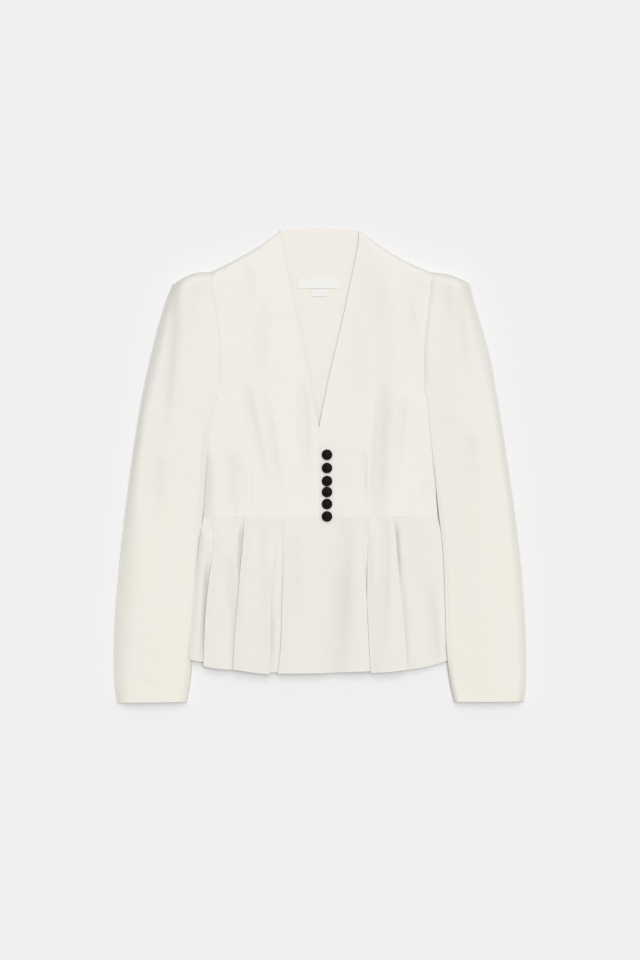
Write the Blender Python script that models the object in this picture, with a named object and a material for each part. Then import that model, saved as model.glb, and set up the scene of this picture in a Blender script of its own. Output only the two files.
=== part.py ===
"""Fitted blazer with a V neck, set-in sleeves and a pleated peplum, laid flat on its back.

Sizes are in millimetres until a mesh is made. +Y runs to the collar and +Z up from the floor, and the
origin is on the floor below the middle of the jacket. Left and right are as seen from above.
"""

import bmesh
import bpy
import numpy as np

# Driving dimensions, in millimetres
MM = 0.001
WALL = 1.6
PLEAT_WALL = 1.2
LABEL_WALL = 1.0
SEAM_GAP = 0.3
RIM = WALL + SEAM_GAP
WAIST_Y = -75.5
NECK_SEAM_Y = 303.0
COLLAR_RISE = 2.5
SHOULDER_ROLL = 16.0
SIDE_ROLL = 22.0
HEAD_ROLL = 18.0
INNER_FOLD_ROLL = 15.0
OUTER_EDGE_ROLL = 22.0
EDGE_POWER = 2.4
SHOULDER_DIP = {"left": 5.0, "right": 6.0}
SHOULDER_DIP_SKEW = {"left": 0.7, "right": 1.0}
SHOULDER_DIP_ROWS = 5
HEAD_BOW = {"left": 6.2, "right": 4.2}
HEAD_BOW_ROWS = 4
LIFT_FROM = 0.25
LIFT_OVER = 0.5
HEM_Y = -301.5
HEM_RISE = 20.8
HEM_REACH = 190.0
HEM_POWER = 4
HIDDEN_HEM = 4.0
BACK_CLEAR = 1.0
BUTTON_X = 10.0
BUTTON_Y = (15.5, -3.8, -22.7, -38.6, -56.0, -74.0)
BUTTON_RADIUS = 7.7
LABEL_SIZE = (62.0, 15.0)
LABEL_CENTRE = (-1.7, 264.5)
TAB_SIZE = (23.0, 10.5)
TAB_CENTRE = (-1.7, 250.7)

# Rows 0 to 5 of every panel run down the armhole, from the shoulder point to the underarm.
UNDERARM = 5

# Neck edge and centre front, a row for each section of the front; crown is the height of its middle.
NECK_COLUMNS = "x y z crown"
NECK = {
    "left": (
        (-57.0, 342.5, 8.0, 12.0),
        (-54.0, 318.0, 9.5, 14.0),
        (-51.0, 299.5, 10.0, 15.0),
        (-44.0, 264.5, 10.0, 15.5),
        (-34.0, 216.5, 10.0, 15.5),
        (-23.5, 167.0, 10.0, 15.5),
        (-16.0, 128.0, 10.0, 15.5),
        (-10.5, 95.0, 10.0, 15.5),
        (-1.5, 48.5, 10.0, 16.0),
        (-1.0, -7.0, 10.0, 16.0),
        (-1.0, WAIST_Y, 10.0, 16.0),
    ),
    "right": (
        (57.0, 341.5, 8.0, 12.0),
        (55.0, 318.0, 9.5, 14.0),
        (51.5, 299.5, 10.0, 15.0),
        (44.0, 264.5, 10.0, 15.5),
        (34.0, 216.5, 10.0, 15.5),
        (22.5, 167.0, 10.0, 15.5),
        (13.0, 128.0, 9.5, 15.5),
        (6.5, 95.0, 8.8, 15.5),
        (-3.0, 48.5, 7.6, 15.5),
        (-13.5, -7.0, 7.6, 15.5),
        (-13.5, WAIST_Y, 7.6, 15.5),
    ),
}

# Armhole seam; lift is how far the sleeve's underside stands off the floor there.
ARMHOLE_COLUMNS = "x y z lift"
ARMHOLE = {
    "left": (
        (-157.5, 280.5, 20.0, 0.0),
        (-158.0, 261.5, 19.0, 0.0),
        (-154.0, 237.0, 18.0, 0.0),
        (-148.0, 189.0, 17.0, 0.0),
        (-146.0, 138.0, 15.0, 0.0),
        (-146.0, 108.0, 8.5, 11.0),
    ),
    "right": (
        (161.5, 280.0, 20.0, 0.0),
        (161.0, 263.0, 19.0, 0.0),
        (158.0, 240.0, 18.0, 0.0),
        (153.5, 196.0, 17.0, 0.0),
        (151.5, 150.0, 15.0, 0.0),
        (151.5, 115.0, 8.5, 11.0),
    ),
}

# Side seam from below the underarm to the waist: under the sleeve at first, then along its inner fold.
SIDE_COLUMNS = "x y z"
SIDE = {
    "left": (
        (-164.0, 92.0, 8.5),
        (-190.0, 82.0, 8.5),
        (-180.0, 37.0, 9.0),
        (-164.5, -14.0, 10.0),
        (-164.0, WAIST_Y, 11.0),
    ),
    "right": (
        (169.5, 98.0, 8.5),
        (195.5, 89.0, 8.5),
        (186.0, 45.5, 8.5),
        (164.5, -12.5, 10.0),
        (170.0, WAIST_Y, 10.5),
    ),
}

# Inner fold of the sleeve from below the underarm to the cuff.
FOLD_COLUMNS = "x y z lift"
FOLD = {
    "left": (
        (-157.0, 73.0, 20.0, 12.5),
        (-161.0, 37.0, 20.0, 12.0),
        (-165.0, -7.0, 18.0, 9.5),
        (-169.0, -65.0, 14.0, 0.0),
        (-174.0, -130.0, 13.0, 0.0),
        (-179.0, -202.0, 13.0, 0.0),
        (-184.5, -265.0, 13.0, 0.0),
        (-187.0, -305.0, 12.0, 0.0),
        (-193.0, -343.0, 10.0, 0.0),
    ),
    "right": (
        (157.0, 77.5, 21.0, 13.0),
        (160.5, 37.0, 21.0, 12.5),
        (165.0, -7.0, 20.0, 10.0),
        (171.0, -65.0, 19.0, 0.0),
        (177.0, -130.0, 18.0, 0.0),
        (182.5, -202.0, 18.0, 0.0),
        (185.0, -265.0, 17.0, 0.0),
        (187.0, -310.0, 14.0, 0.0),
        (194.0, -343.0, 10.0, 0.0),
    ),
}

# Outer edge of the sleeve from the shoulder's corner to the cuff; crown is the height of its middle.
EDGE_COLUMNS = "x y z crown"
EDGE = {
    "left": (
        (-215.0, 261.5, 22.0, 26.0),
        (-225.0, 235.5, 20.0, 26.0),
        (-236.0, 199.0, 17.0, 24.0),
        (-248.0, 150.0, 15.0, 21.0),
        (-257.0, 109.0, 14.0, 20.0),
        (-263.5, 73.0, 14.0, 20.0),
        (-269.0, 37.0, 14.0, 20.0),
        (-275.0, -4.0, 14.0, 19.0),
        (-281.0, -50.0, 14.0, 17.0),
        (-287.5, -105.0, 14.0, 16.0),
        (-293.5, -166.0, 14.0, 16.0),
        (-298.0, -224.0, 14.0, 16.0),
        (-299.5, -268.0, 13.0, 15.0),
        (-299.0, -310.0, 12.0, 14.0),
        (-295.5, -344.5, 10.0, 12.0),
    ),
    "right": (
        (217.5, 264.0, 22.0, 26.0),
        (225.0, 234.0, 20.0, 26.0),
        (234.5, 202.0, 17.0, 24.0),
        (246.5, 158.5, 15.0, 21.0),
        (253.5, 122.5, 14.0, 21.0),
        (261.0, 77.5, 14.0, 21.0),
        (267.0, 41.0, 14.0, 21.0),
        (273.5, -4.0, 14.0, 21.0),
        (280.0, -47.0, 14.0, 20.0),
        (287.0, -101.0, 14.0, 19.0),
        (293.5, -159.0, 14.0, 18.0),
        (297.5, -221.0, 14.0, 18.0),
        (299.5, -268.0, 13.0, 17.0),
        (299.5, -315.0, 12.0, 14.0),
        (296.0, -342.5, 10.0, 12.0),
    ),
}

# Soft troughs pressed into the panels, a row for each fold: its two ends, its half width and its depth.
# Each fades in over the first share of its length and out over the last.
TROUGH_COLUMNS = "from_x from_y to_x to_y half depth"
TROUGH_FADE_IN = 0.25
TROUGH_FADE_OUT = 0.5
FRONT_TROUGHS = {
    "left": (
        (-84.0, -70.0, -95.0, 150.0, 12.0, 2.0),
        (-66.0, -75.0, -62.0, 40.0, 9.0, 1.5),
        (-104.0, -75.0, -112.0, 30.0, 9.0, 1.5),
    ),
    "right": (
        (84.0, -70.0, 80.0, 190.0, 12.0, 2.0),
        (64.0, -75.0, 60.0, 40.0, 9.0, 1.5),
        (112.0, -60.0, 122.0, 60.0, 9.0, 1.5),
    ),
}
PEPLUM_TROUGHS = {
    "left": ((-142.0, -110.0, -150.0, -300.0, 9.0, 2.0),),
    "right": (
        (32.0, -80.0, 47.0, -310.0, 11.0, 2.5),
        (150.0, -150.0, 168.0, -300.0, 7.0, 2.5),
    ),
}
SLEEVE_TROUGHS = {
    "left": (
        (-206.0, 262.0, -222.0, 110.0, 11.0, 2.5),
        (-180.0, 270.0, -182.0, 180.0, 10.0, 1.8),
    ),
    "right": (
        (207.0, 262.0, 208.0, 140.0, 11.0, 2.5),
        (184.0, 270.0, 186.0, 180.0, 10.0, 1.8),
    ),
}

# Runs of the folded peplum from the centre front to the side, a row for each run between two folds:
# where its ends show at the waist and at the hem, which of three layers they lie in (2 is the top), and
# how far below the common hem line its ends hang.
RUN_COLUMNS = "waist_from waist_to hem_from hem_to layer_from layer_to drop_from drop_to"
PLEAT_RUNS = {
    "left": (
        (2.0, -54.0, 4.0, -63.0, 2, 2, 0.0, 0.5),
        (-54.0, -45.0, -63.0, -45.0, 1, 1, -1.5, -2.0),
        (-45.0, -72.0, -45.0, -92.0, 0, 0, -1.0, -1.0),
        (-72.0, -62.0, -92.0, -74.0, 1, 1, -2.0, -1.0),
        (-62.0, -109.5, -74.0, -126.5, 2, 2, 1.5, -1.5),
        (-109.5, -98.0, -126.5, -106.0, 1, 1, -3.0, -3.0),
        (-98.0, -157.0, -106.0, -169.0, 0, 2, -2.0, 2.0),
        (-157.0, -146.0, -169.0, -150.0, 1, 1, -3.0, -5.0),
        (-146.0, -173.0, -150.0, -190.5, 0, 2, -6.0, 0.0),
    ),
    "right": (
        (-10.5, 65.5, -10.5, 72.0, 2, 2, 0.0, -2.5),
        (65.5, 54.0, 72.0, 54.0, 1, 1, -4.0, -4.0),
        (54.0, 80.0, 54.0, 95.0, 0, 0, -3.0, -3.0),
        (80.0, 69.0, 95.0, 75.0, 1, 1, -2.0, -2.0),
        (69.0, 108.0, 75.0, 128.5, 2, 2, 0.0, -1.0),
        (108.0, 96.0, 128.5, 108.0, 1, 1, -3.0, -3.0),
        (96.0, 170.5, 108.0, 184.5, 0, 2, -1.0, 0.0),
    ),
}
TOP_LAYER = 2

# Step from layer to layer at the waist and at the hem, and the share of the way down where it is full
LAYER_STEP_WAIST = 2.2
LAYER_STEP_HEM = 3.4
LAYERS_OPEN_AT = 0.6

# Height of the peplum's top layer at the centre front, in the middle and at the side of the waist,
# how much higher the middle stands below the waist, and the share of the way down where it does.
PEPLUM_HEIGHTS = {"left": (10.3, 15.4, 14.5), "right": (7.2, 14.9, 11.0)}
PEPLUM_SWELL = 3.0
PEPLUM_SWELL_AT = 0.33

# Rings of a button from its base to its domed top: share of its radius, and height
BUTTON_COLUMNS = "share height"
BUTTON_RINGS = ((0.8, 0.0), (1.0, 1.2), (1.0, 2.6), (0.9, 3.8), (0.55, 4.7))

# How finely the panels are divided
ARMHOLE_STATIONS = np.array((0, 0.06, 0.16, 0.34, 0.66, 1, 1.5, 2, 2.5, 3, 3.5, 4, 4.3, 4.6, 5))
FRONT_STATIONS = np.append(ARMHOLE_STATIONS, (5.3, 5.6, 6, 6.5, 7, 7.5, 8, 8.5, 9, 9.5, 10))
SLEEVE_STATIONS = np.append(ARMHOLE_STATIONS, (5.5, 6, 6.5, 7, 8, 9, 10, 11, 12, 12.5, 13, 13.5, 14))
FRONT_ACROSS = np.append(np.linspace(0, 0.84, 13), (0.89, 0.93, 0.965, 0.985, 1))
SLEEVE_ACROSS = np.concatenate(
    ((0, 0.01, 0.035, 0.075, 0.13), np.linspace(0.2, 0.8, 7), (0.88, 0.94, 0.98, 1)),
)
UNDER_STATIONS = np.append(ARMHOLE_STATIONS, (5.5, 6, 7, 8, 8.5, 9, 10, 11, 12, 12.5, 13, 14))
UNDER_ACROSS = np.array((0, 0.25, 0.35, 0.45, 0.55, 0.65, 0.75, 1))
PEPLUM_ROWS = np.linspace(0, 1, 8)
PLEAT_TURN_STEPS = 4
PLEAT_RUN_SPACING = 11.0
COLLAR_TOP_POINTS = 9
BACK_EDGE_STATIONS = np.linspace(9, 13, 17)
BACK_HEM_POINTS = 15
BUTTON_SIDES = 20
BUTTON_SEAT_STATIONS = np.linspace(8, 10, 21)
BUTTON_SEAT_ACROSS = np.linspace(0, 0.3, 61)

# Colours of the materials (linear), with their roughness
CLOTH = ((0.87, 0.84, 0.78), 0.9)
BUTTON_BLACK = ((0.016, 0.014, 0.015), 0.45)
LABEL_WHITE = ((0.86, 0.85, 0.82), 0.7)


def columns(names, rows):
    """The columns of a table, an array for each name."""
    return dict(zip(names.split(), np.array(rows, float).T))


def through(values, at):
    """A smooth curve through evenly spaced values, read at fractional places (0 is the first value)."""
    slope = np.gradient(values)
    low = np.clip(np.floor(at).astype(int), 0, len(values) - 2)
    t = at - low
    rise = values[low + 1] - values[low]
    bend_in = slope[low] - rise
    bend_out = rise - slope[low + 1]
    return values[low] + t * rise + t * (1 - t) * ((1 - t) * bend_in + t * bend_out)


def ease(t):
    """A soft climb from 0 to 1."""
    t = np.clip(t, 0, 1)
    return t * t * (3 - 2 * t)


def roll(inset, radius):
    """Height share of an edge that turns down: 0 at the edge, 1 from the radius inwards."""
    short = 1 - np.clip(inset / radius, 0, 1)
    return (1 - short**EDGE_POWER) ** (1 / EDGE_POWER)


def arch(first, middle, last, across):
    """Height across a panel, which eases from its first edge to its middle and on to its last edge."""
    near = first + (middle - first) * ease(2 * across)
    far = middle + (last - middle) * ease(2 * across - 1)
    return np.where(across < 0.5, near, far)


def troughs(x, y, rows):
    """Depth of the soft folds at each point: each is a bell across its line that fades at both ends."""
    depth = np.zeros_like(x)
    for row in rows:
        fold = dict(zip(TROUGH_COLUMNS.split(), row))
        run = np.array((fold["to_x"] - fold["from_x"], fold["to_y"] - fold["from_y"]))
        length = np.hypot(*run)
        from_x, from_y = x - fold["from_x"], y - fold["from_y"]
        along = (from_x * run[0] + from_y * run[1]) / length**2
        off = (from_x * run[1] - from_y * run[0]) / length
        fade = ease(along / TROUGH_FADE_IN) * ease((1 - along) / TROUGH_FADE_OUT)
        depth += fold["depth"] * fade * np.exp(-((off / fold["half"]) ** 2))
    return depth


def joined_line(above, below, stations):
    """A line that follows the armhole to the underarm and another table from there on."""
    lower = np.append(above[UNDERARM], below)
    upper_part = through(above, np.minimum(stations, UNDERARM))
    lower_part = through(lower, np.maximum(stations - UNDERARM, 0))
    return np.where(stations <= UNDERARM, upper_part, lower_part)


def front_surface(side, stations, across):
    """Outer face of one front, from the shoulder down and from the neck edge out to the side."""
    neck = columns(NECK_COLUMNS, NECK[side])
    armhole = columns(ARMHOLE_COLUMNS, ARMHOLE[side])
    seam = columns(SIDE_COLUMNS, SIDE[side])
    at = stations[:, None]
    near_x, near_y, near_z, crown = (through(neck[name], at) for name in ("x", "y", "z", "crown"))
    far_x, far_y, far_z = (joined_line(armhole[name], seam[name], at) for name in ("x", "y", "z"))
    dip_fade = np.clip(1 - at / SHOULDER_DIP_ROWS, 0, 1) ** 2
    dip = SHOULDER_DIP[side] * dip_fade * np.sin(np.pi * across ** SHOULDER_DIP_SKEW[side])
    x = near_x + (far_x - near_x) * across
    y = near_y + (far_y - near_y) * across - dip
    from_shoulder = np.hypot(x - x[:1], y - y[:1])
    from_side = np.hypot(x - x[:, -1:], y - y[:, -1:])
    turned = 1 - ease(at - UNDERARM) * (1 - roll(from_side, SIDE_ROLL))
    height = arch(near_z, crown, far_z, across) - troughs(x, y, FRONT_TROUGHS[side])
    z = RIM + (height - RIM) * roll(from_shoulder, SHOULDER_ROLL) * turned
    return np.stack((x, y, z), axis=-1)


def sleeve_plan(side, stations, across):
    """Plan of one sleeve, from its top down and from its seam or inner fold out, and the lift below it."""
    armhole = columns(ARMHOLE_COLUMNS, ARMHOLE[side])
    fold = columns(FOLD_COLUMNS, FOLD[side])
    edge = columns(EDGE_COLUMNS, EDGE[side])
    at = stations[:, None]
    near_x, near_y, lift = (joined_line(armhole[name], fold[name], at) for name in ("x", "y", "lift"))
    near_x = near_x + np.sign(near_x) * SEAM_GAP
    bow = HEAD_BOW[side] * np.clip(1 - at / HEAD_BOW_ROWS, 0, 1) ** 2 * np.sin(np.pi * across)
    x = near_x + (through(edge["x"], at) - near_x) * across
    y = near_y + (through(edge["y"], at) - near_y) * across + bow
    low = np.maximum(lift, 0) * (1 - ease((across - LIFT_FROM) / LIFT_OVER))
    return x, y, low


def sleeve_surface(side, stations, across):
    """Outer face of the upper sleeve and, as a second grid, the height of the rim that it stands on."""
    armhole = columns(ARMHOLE_COLUMNS, ARMHOLE[side])
    fold = columns(FOLD_COLUMNS, FOLD[side])
    edge = columns(EDGE_COLUMNS, EDGE[side])
    at = stations[:, None]
    x, y, low = sleeve_plan(side, stations, across)
    base = low + RIM
    near_z = joined_line(armhole["z"], fold["z"], at)
    from_top = np.hypot(x - x[:1], y - y[:1])
    from_inner = np.hypot(x - x[:, :1], y - y[:, :1])
    from_outer = np.hypot(x - x[:, -1:], y - y[:, -1:])
    free = ease(at - (UNDERARM - 1))
    inner_turn = 1 - free * (1 - roll(from_inner, INNER_FOLD_ROLL))
    outer_turn = roll(from_outer, OUTER_EDGE_ROLL)
    height = arch(near_z, through(edge["crown"], at), through(edge["z"], at), across)
    height = np.maximum(height - troughs(x, y, SLEEVE_TROUGHS[side]), base)
    z = base + (height - base) * roll(from_top, HEAD_ROLL) * inner_turn * outer_turn
    return np.stack((x, y, z), axis=-1), base


def inward(points, thickness, lowest):
    """The inner face of a wall whose outer face is given, kept no lower than the height given."""
    along = np.gradient(points, axis=0)
    across = np.gradient(points, axis=1)
    facing = np.cross(along, across)
    facing *= np.sign(facing[..., 2].mean())
    facing /= np.linalg.norm(facing, axis=-1, keepdims=True)
    inner = points - thickness * facing
    inner[..., 2] = np.maximum(inner[..., 2], lowest)
    return inner


def hem_y(x):
    """The hem's line, lowest at the centre front and rising to the sides."""
    return HEM_Y + HEM_RISE * np.abs(x / HEM_REACH) ** HEM_POWER


def run_value(runs, name, number, share):
    """One property along a run of the peplum, eased from the run's first end to its last."""
    first, last = runs[f"{name}_from"][number], runs[f"{name}_to"][number]
    return first + (last - first) * ease(share)


def pleat_section(side, down):
    """Middle line of the folded peplum at one height (0 waist, 1 hem): x, y and z, from the centre out."""
    runs = columns(RUN_COLUMNS, PLEAT_RUNS[side])
    start = runs["waist_from"] + (runs["hem_from"] - runs["waist_from"]) * down
    end = runs["waist_to"] + (runs["hem_to"] - runs["waist_to"]) * down
    layer_gap = LAYER_STEP_WAIST + (LAYER_STEP_HEM - LAYER_STEP_WAIST) * ease(down / LAYERS_OPEN_AT)
    fold_inset = (layer_gap + PLEAT_WALL) / 2
    centre, middle, outer = PEPLUM_HEIGHTS[side]
    middle += PEPLUM_SWELL * ease(down / PEPLUM_SWELL_AT)
    top_y = WAIST_Y - SEAM_GAP

    def placed(x, layer, drop):
        across = np.clip((x - start[0]) / (end[-1] - start[0]), 0, 1)
        y = top_y + (hem_y(x) - drop - top_y) * down
        z = arch(centre, middle, outer, across) - (TOP_LAYER - layer) * layer_gap
        return np.stack((x, y, z - troughs(x, y, PEPLUM_TROUGHS[side])), axis=-1)

    points = []
    turn = np.linspace(0, np.pi, PLEAT_TURN_STEPS + 1)[1:-1, None]
    last = len(start) - 1
    for number in range(last + 1):
        way = np.sign(end[number] - start[number])
        run_start = start[number] if number == 0 else start[number] + way * fold_inset
        run_end = end[number] if number == last else end[number] - way * fold_inset
        waist_length = abs(runs["waist_to"][number] - runs["waist_from"][number])
        share = np.linspace(0, 1, max(3, round(waist_length / PLEAT_RUN_SPACING) + 1))
        layer, drop = (run_value(runs, name, number, share) for name in ("layer", "drop"))
        run = placed(run_start + (run_end - run_start) * share, layer, drop)
        if number > 0:
            before = points[-1][-1]
            half = (before - run[0]) / 2
            bend = (before + run[0]) / 2 + half * np.cos(turn)
            bend[:, :1] -= way * abs(half[2]) * np.sin(turn)
            points.append(bend)
        points.append(run)
    return np.concatenate(points)


def peplum_faces(side):
    """Outer and inner faces of one folded front peplum, rows from the waist to the hem."""
    line = np.array([pleat_section(side, down) for down in PEPLUM_ROWS])
    ways = np.diff(line[..., (0, 2)], axis=1)
    ways /= np.linalg.norm(ways, axis=-1, keepdims=True)
    tangent = np.concatenate((ways[:, :1], ways[:, :-1] + ways[:, 1:], ways[:, -1:]), axis=1)
    tangent /= np.linalg.norm(tangent, axis=-1, keepdims=True)
    facing = np.stack((-tangent[..., 1], np.zeros(line.shape[:2]), tangent[..., 0]), axis=-1)
    facing *= np.sign(line[0, -1, 0] - line[0, 0, 0])
    return line + facing * PLEAT_WALL / 2, line - facing * PLEAT_WALL / 2


def cut(outline, level, keep):
    """The part of a closed outline above (keep 1) or below (keep -1) a level line."""
    side = (outline[:, 1] - level) * keep
    kept = []
    for here, there, a, b in zip(outline, np.roll(outline, -1, 0), side, np.roll(side, -1)):
        if a >= 0:
            kept.append(here)
        if a * b < 0:
            kept.append(here + (there - here) * a / (a - b))
    return np.array(kept)


def body_outline(left, right):
    """Outline of the whole back, taken from the outer edges of the two fronts and the collar's top."""
    share = np.linspace(0, 1, COLLAR_TOP_POINTS)[1:-1, None]
    start, end = left[0, 0, :2], right[0, 0, :2]
    collar = start + (end - start) * share
    collar[:, 1:] += COLLAR_RISE * np.sin(np.pi * share)
    return np.concatenate(
        (
            collar,
            right[0, :, :2],
            right[1:, -1, :2],
            left[:0:-1, -1, :2],
            left[0, ::-1, :2],
        )
    )


def back_peplum_outline():
    """Outline of the back peplum, which lies between the sleeves and a little short of the front hem."""
    x, y, _ = sleeve_plan("left", BACK_EDGE_STATIONS, np.zeros((1, 1)))
    left_edge = np.concatenate((x, y), axis=1)
    left_edge[:, 0] += BACK_CLEAR + SEAM_GAP
    left_edge = left_edge[left_edge[:, 1] > hem_y(left_edge[:, 0]) + HIDDEN_HEM]
    corner_x = left_edge[-1, 0]
    hem_x = np.linspace(corner_x, -corner_x, BACK_HEM_POINTS)
    hem = np.stack((hem_x, hem_y(hem_x) + HIDDEN_HEM), axis=-1)
    right_edge = left_edge[::-1] * (-1, 1)
    return cut(np.concatenate((left_edge, hem, right_edge)), WAIST_Y - SEAM_GAP, -1)


def rectangle(size, centre):
    """Corners of a rectangle, anticlockwise."""
    half = np.array(size) / 2
    return np.array(centre) + half * np.array(((-1, -1), (1, -1), (1, 1), (-1, 1)))


def material_of(name, finish):
    colour, roughness = finish
    material = bpy.data.materials.new(name)
    material.use_nodes = True
    shader = material.node_tree.nodes["Principled BSDF"]
    shader.inputs["Base Color"].default_value = (*colour, 1)
    shader.inputs["Roughness"].default_value = roughness
    shader.inputs["Metallic"].default_value = 0
    return material


def mesh_of(name, points, faces, finish):
    """A closed mesh with its faces turned outwards and its own material."""
    mesh = bpy.data.meshes.new(name)
    mesh.from_pydata((np.asarray(points) * MM).tolist(), [], faces)
    shape = bmesh.new()
    shape.from_mesh(mesh)
    bmesh.ops.recalc_face_normals(shape, faces=shape.faces)
    shape.to_mesh(mesh)
    shape.free()
    mesh.materials.append(material_of(name, finish))
    return mesh


def place(name, mesh, jacket, location=(0, 0, 0)):
    piece = bpy.data.objects.new(name, mesh)
    piece.location = np.array(location) * MM
    piece.parent = jacket
    bpy.context.scene.collection.objects.link(piece)


def rim_faces(loop, count):
    """Quads between a closed loop of points and the same loop on the other face."""
    ahead = np.roll(loop, -1)
    return np.stack((loop, ahead, ahead + count, loop + count), axis=-1).tolist()


def wall(name, outer, inner, finish):
    """A sheet of cloth: the closed solid between two grids of points."""
    rows, across = outer.shape[:2]
    count = rows * across
    index = np.arange(count).reshape(rows, across)
    quads = np.stack((index[:-1, :-1], index[1:, :-1], index[1:, 1:], index[:-1, 1:]), axis=-1)
    quads = quads.reshape(-1, 4)
    loop = np.concatenate((index[0, :-1], index[:-1, -1], index[-1, :0:-1], index[:0:-1, 0]))
    faces = quads.tolist() + (quads[:, ::-1] + count).tolist() + rim_faces(loop, count)
    points = np.concatenate((outer.reshape(-1, 3), inner.reshape(-1, 3)))
    return mesh_of(name, points, faces, finish)


def plate(name, outline, bottom, thickness, finish):
    """A flat sheet with the outline given."""
    count = len(outline)
    loop = np.arange(count)
    levels = (bottom, bottom + thickness)
    points = np.concatenate([np.column_stack((outline, np.full(count, level))) for level in levels])
    faces = [loop[::-1].tolist(), (loop + count).tolist()] + rim_faces(loop, count)
    return mesh_of(name, points, faces, finish)


def button_mesh():
    """A low round button, turned about its own axis."""
    rings = columns(BUTTON_COLUMNS, BUTTON_RINGS)
    angle = np.arange(BUTTON_SIDES) * 2 * np.pi / BUTTON_SIDES
    around = np.stack((np.cos(angle), np.sin(angle)), axis=-1) * BUTTON_RADIUS
    points = [
        np.column_stack((around * share, np.full(BUTTON_SIDES, height)))
        for share, height in zip(rings["share"], rings["height"])
    ]
    loop = np.arange(BUTTON_SIDES)
    last = len(points) - 1
    faces = [loop[::-1].tolist(), (loop + BUTTON_SIDES * last).tolist()]
    for ring in range(last):
        faces += rim_faces(loop + BUTTON_SIDES * ring, BUTTON_SIDES)
    return mesh_of("button", np.concatenate(points), faces, BUTTON_BLACK)


def button_seat():
    """Height just above the highest point of the right front below the row of buttons."""
    front = front_surface("right", BUTTON_SEAT_STATIONS, BUTTON_SEAT_ACROSS[None, :])
    below = np.abs(front[..., 0] - BUTTON_X) < BUTTON_RADIUS
    return front[below][:, 2].max() + SEAM_GAP


def build():
    for old in list(bpy.data.objects):
        bpy.data.objects.remove(old, do_unlink=True)
    jacket = bpy.data.objects.new("fitted_blazer", None)
    bpy.context.scene.collection.objects.link(jacket)

    fronts = {}
    for side in ("left", "right"):
        fronts[side] = front_surface(side, FRONT_STATIONS, FRONT_ACROSS[None, :])
        name = f"front_{side}"
        place(name, wall(name, fronts[side], inward(fronts[side], WALL, RIM), CLOTH), jacket)

        name = f"peplum_{side}"
        place(name, wall(name, *peplum_faces(side), CLOTH), jacket)

        upper, base = sleeve_surface(side, SLEEVE_STATIONS, SLEEVE_ACROSS[None, :])
        name = f"sleeve_{side}_upper"
        place(name, wall(name, upper, inward(upper, WALL, base), CLOTH), jacket)

        under = np.stack(sleeve_plan(side, UNDER_STATIONS, UNDER_ACROSS[None, :]), axis=-1)
        name = f"sleeve_{side}_under"
        place(name, wall(name, under + (0, 0, WALL), under, CLOTH), jacket)

    outline = body_outline(fronts["left"], fronts["right"])
    half_gap = SEAM_GAP / 2
    stand = cut(outline, NECK_SEAM_Y + half_gap, 1)
    bodice = cut(outline, NECK_SEAM_Y - half_gap, -1)
    place("collar_stand", plate("collar_stand", stand, 0, WALL, CLOTH), jacket)
    place("back_bodice", plate("back_bodice", bodice, 0, WALL, CLOTH), jacket)
    place("back_peplum", plate("back_peplum", back_peplum_outline(), 0, WALL, CLOTH), jacket)

    for name, size, centre in (
        ("neck_label", LABEL_SIZE, LABEL_CENTRE),
        ("size_tab", TAB_SIZE, TAB_CENTRE),
    ):
        place(name, plate(name, rectangle(size, centre), RIM, LABEL_WALL, LABEL_WHITE), jacket)

    button = button_mesh()
    seat = button_seat()
    for number, y in enumerate(BUTTON_Y, start=1):
        place(f"button_{number}", button, jacket, (BUTTON_X, y, seat))


build()
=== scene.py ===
# %% [markdown]
# # A fitted blazer, laid flat on its back
# The jacket is made of ivory slubbed cloth. It has a V neck with a raised collar, set-in sleeves with squared
# heads, a waist seam, a pleated peplum and six black buttons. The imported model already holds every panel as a
# thin solid in its true place. This lesson lays a finer sheet of cloth over each of those solids, gives the
# cloth its creases, seams and weave, and then sets up the floor, the light and the camera.

import bpy
import numpy as np
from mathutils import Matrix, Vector


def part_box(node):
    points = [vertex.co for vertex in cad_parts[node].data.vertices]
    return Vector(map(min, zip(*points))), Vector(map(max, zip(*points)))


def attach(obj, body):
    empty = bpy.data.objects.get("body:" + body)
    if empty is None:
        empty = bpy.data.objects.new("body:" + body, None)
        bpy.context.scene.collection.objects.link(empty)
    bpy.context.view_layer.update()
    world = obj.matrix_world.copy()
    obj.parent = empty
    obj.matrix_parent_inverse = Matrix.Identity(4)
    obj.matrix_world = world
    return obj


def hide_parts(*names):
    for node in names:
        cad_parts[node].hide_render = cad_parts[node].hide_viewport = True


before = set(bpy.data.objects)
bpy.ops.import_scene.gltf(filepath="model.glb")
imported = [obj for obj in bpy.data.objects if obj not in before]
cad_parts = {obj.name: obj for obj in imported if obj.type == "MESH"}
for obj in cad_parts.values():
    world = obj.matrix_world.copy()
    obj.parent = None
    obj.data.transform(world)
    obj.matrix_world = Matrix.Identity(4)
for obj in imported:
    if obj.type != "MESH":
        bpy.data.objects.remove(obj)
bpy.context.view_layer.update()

# %% [markdown]
# ## Lines from short tables
# A pattern cutter plots a few measured points and draws a smooth line through them. The same is done here: a
# table gives one row for each section of a panel, and a cubic curve runs through the rows. A Bezier curve object
# could do it too, but plain arrays can be read at thousands of places at once. All sizes are in millimetres
# until a mesh is made. +Y runs to the collar, +Z up, and left and right are as seen from above.

# %% Smooth lines and soft steps
MM = 0.001


def columns(names, rows):
    """The columns of a table, an array for each name."""
    return dict(zip(names.split(), np.array(rows, float).T))


def by_side(names, **tables):
    """The columns of a table for each side of the jacket."""
    return {side: columns(names, rows) for side, rows in tables.items()}


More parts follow.
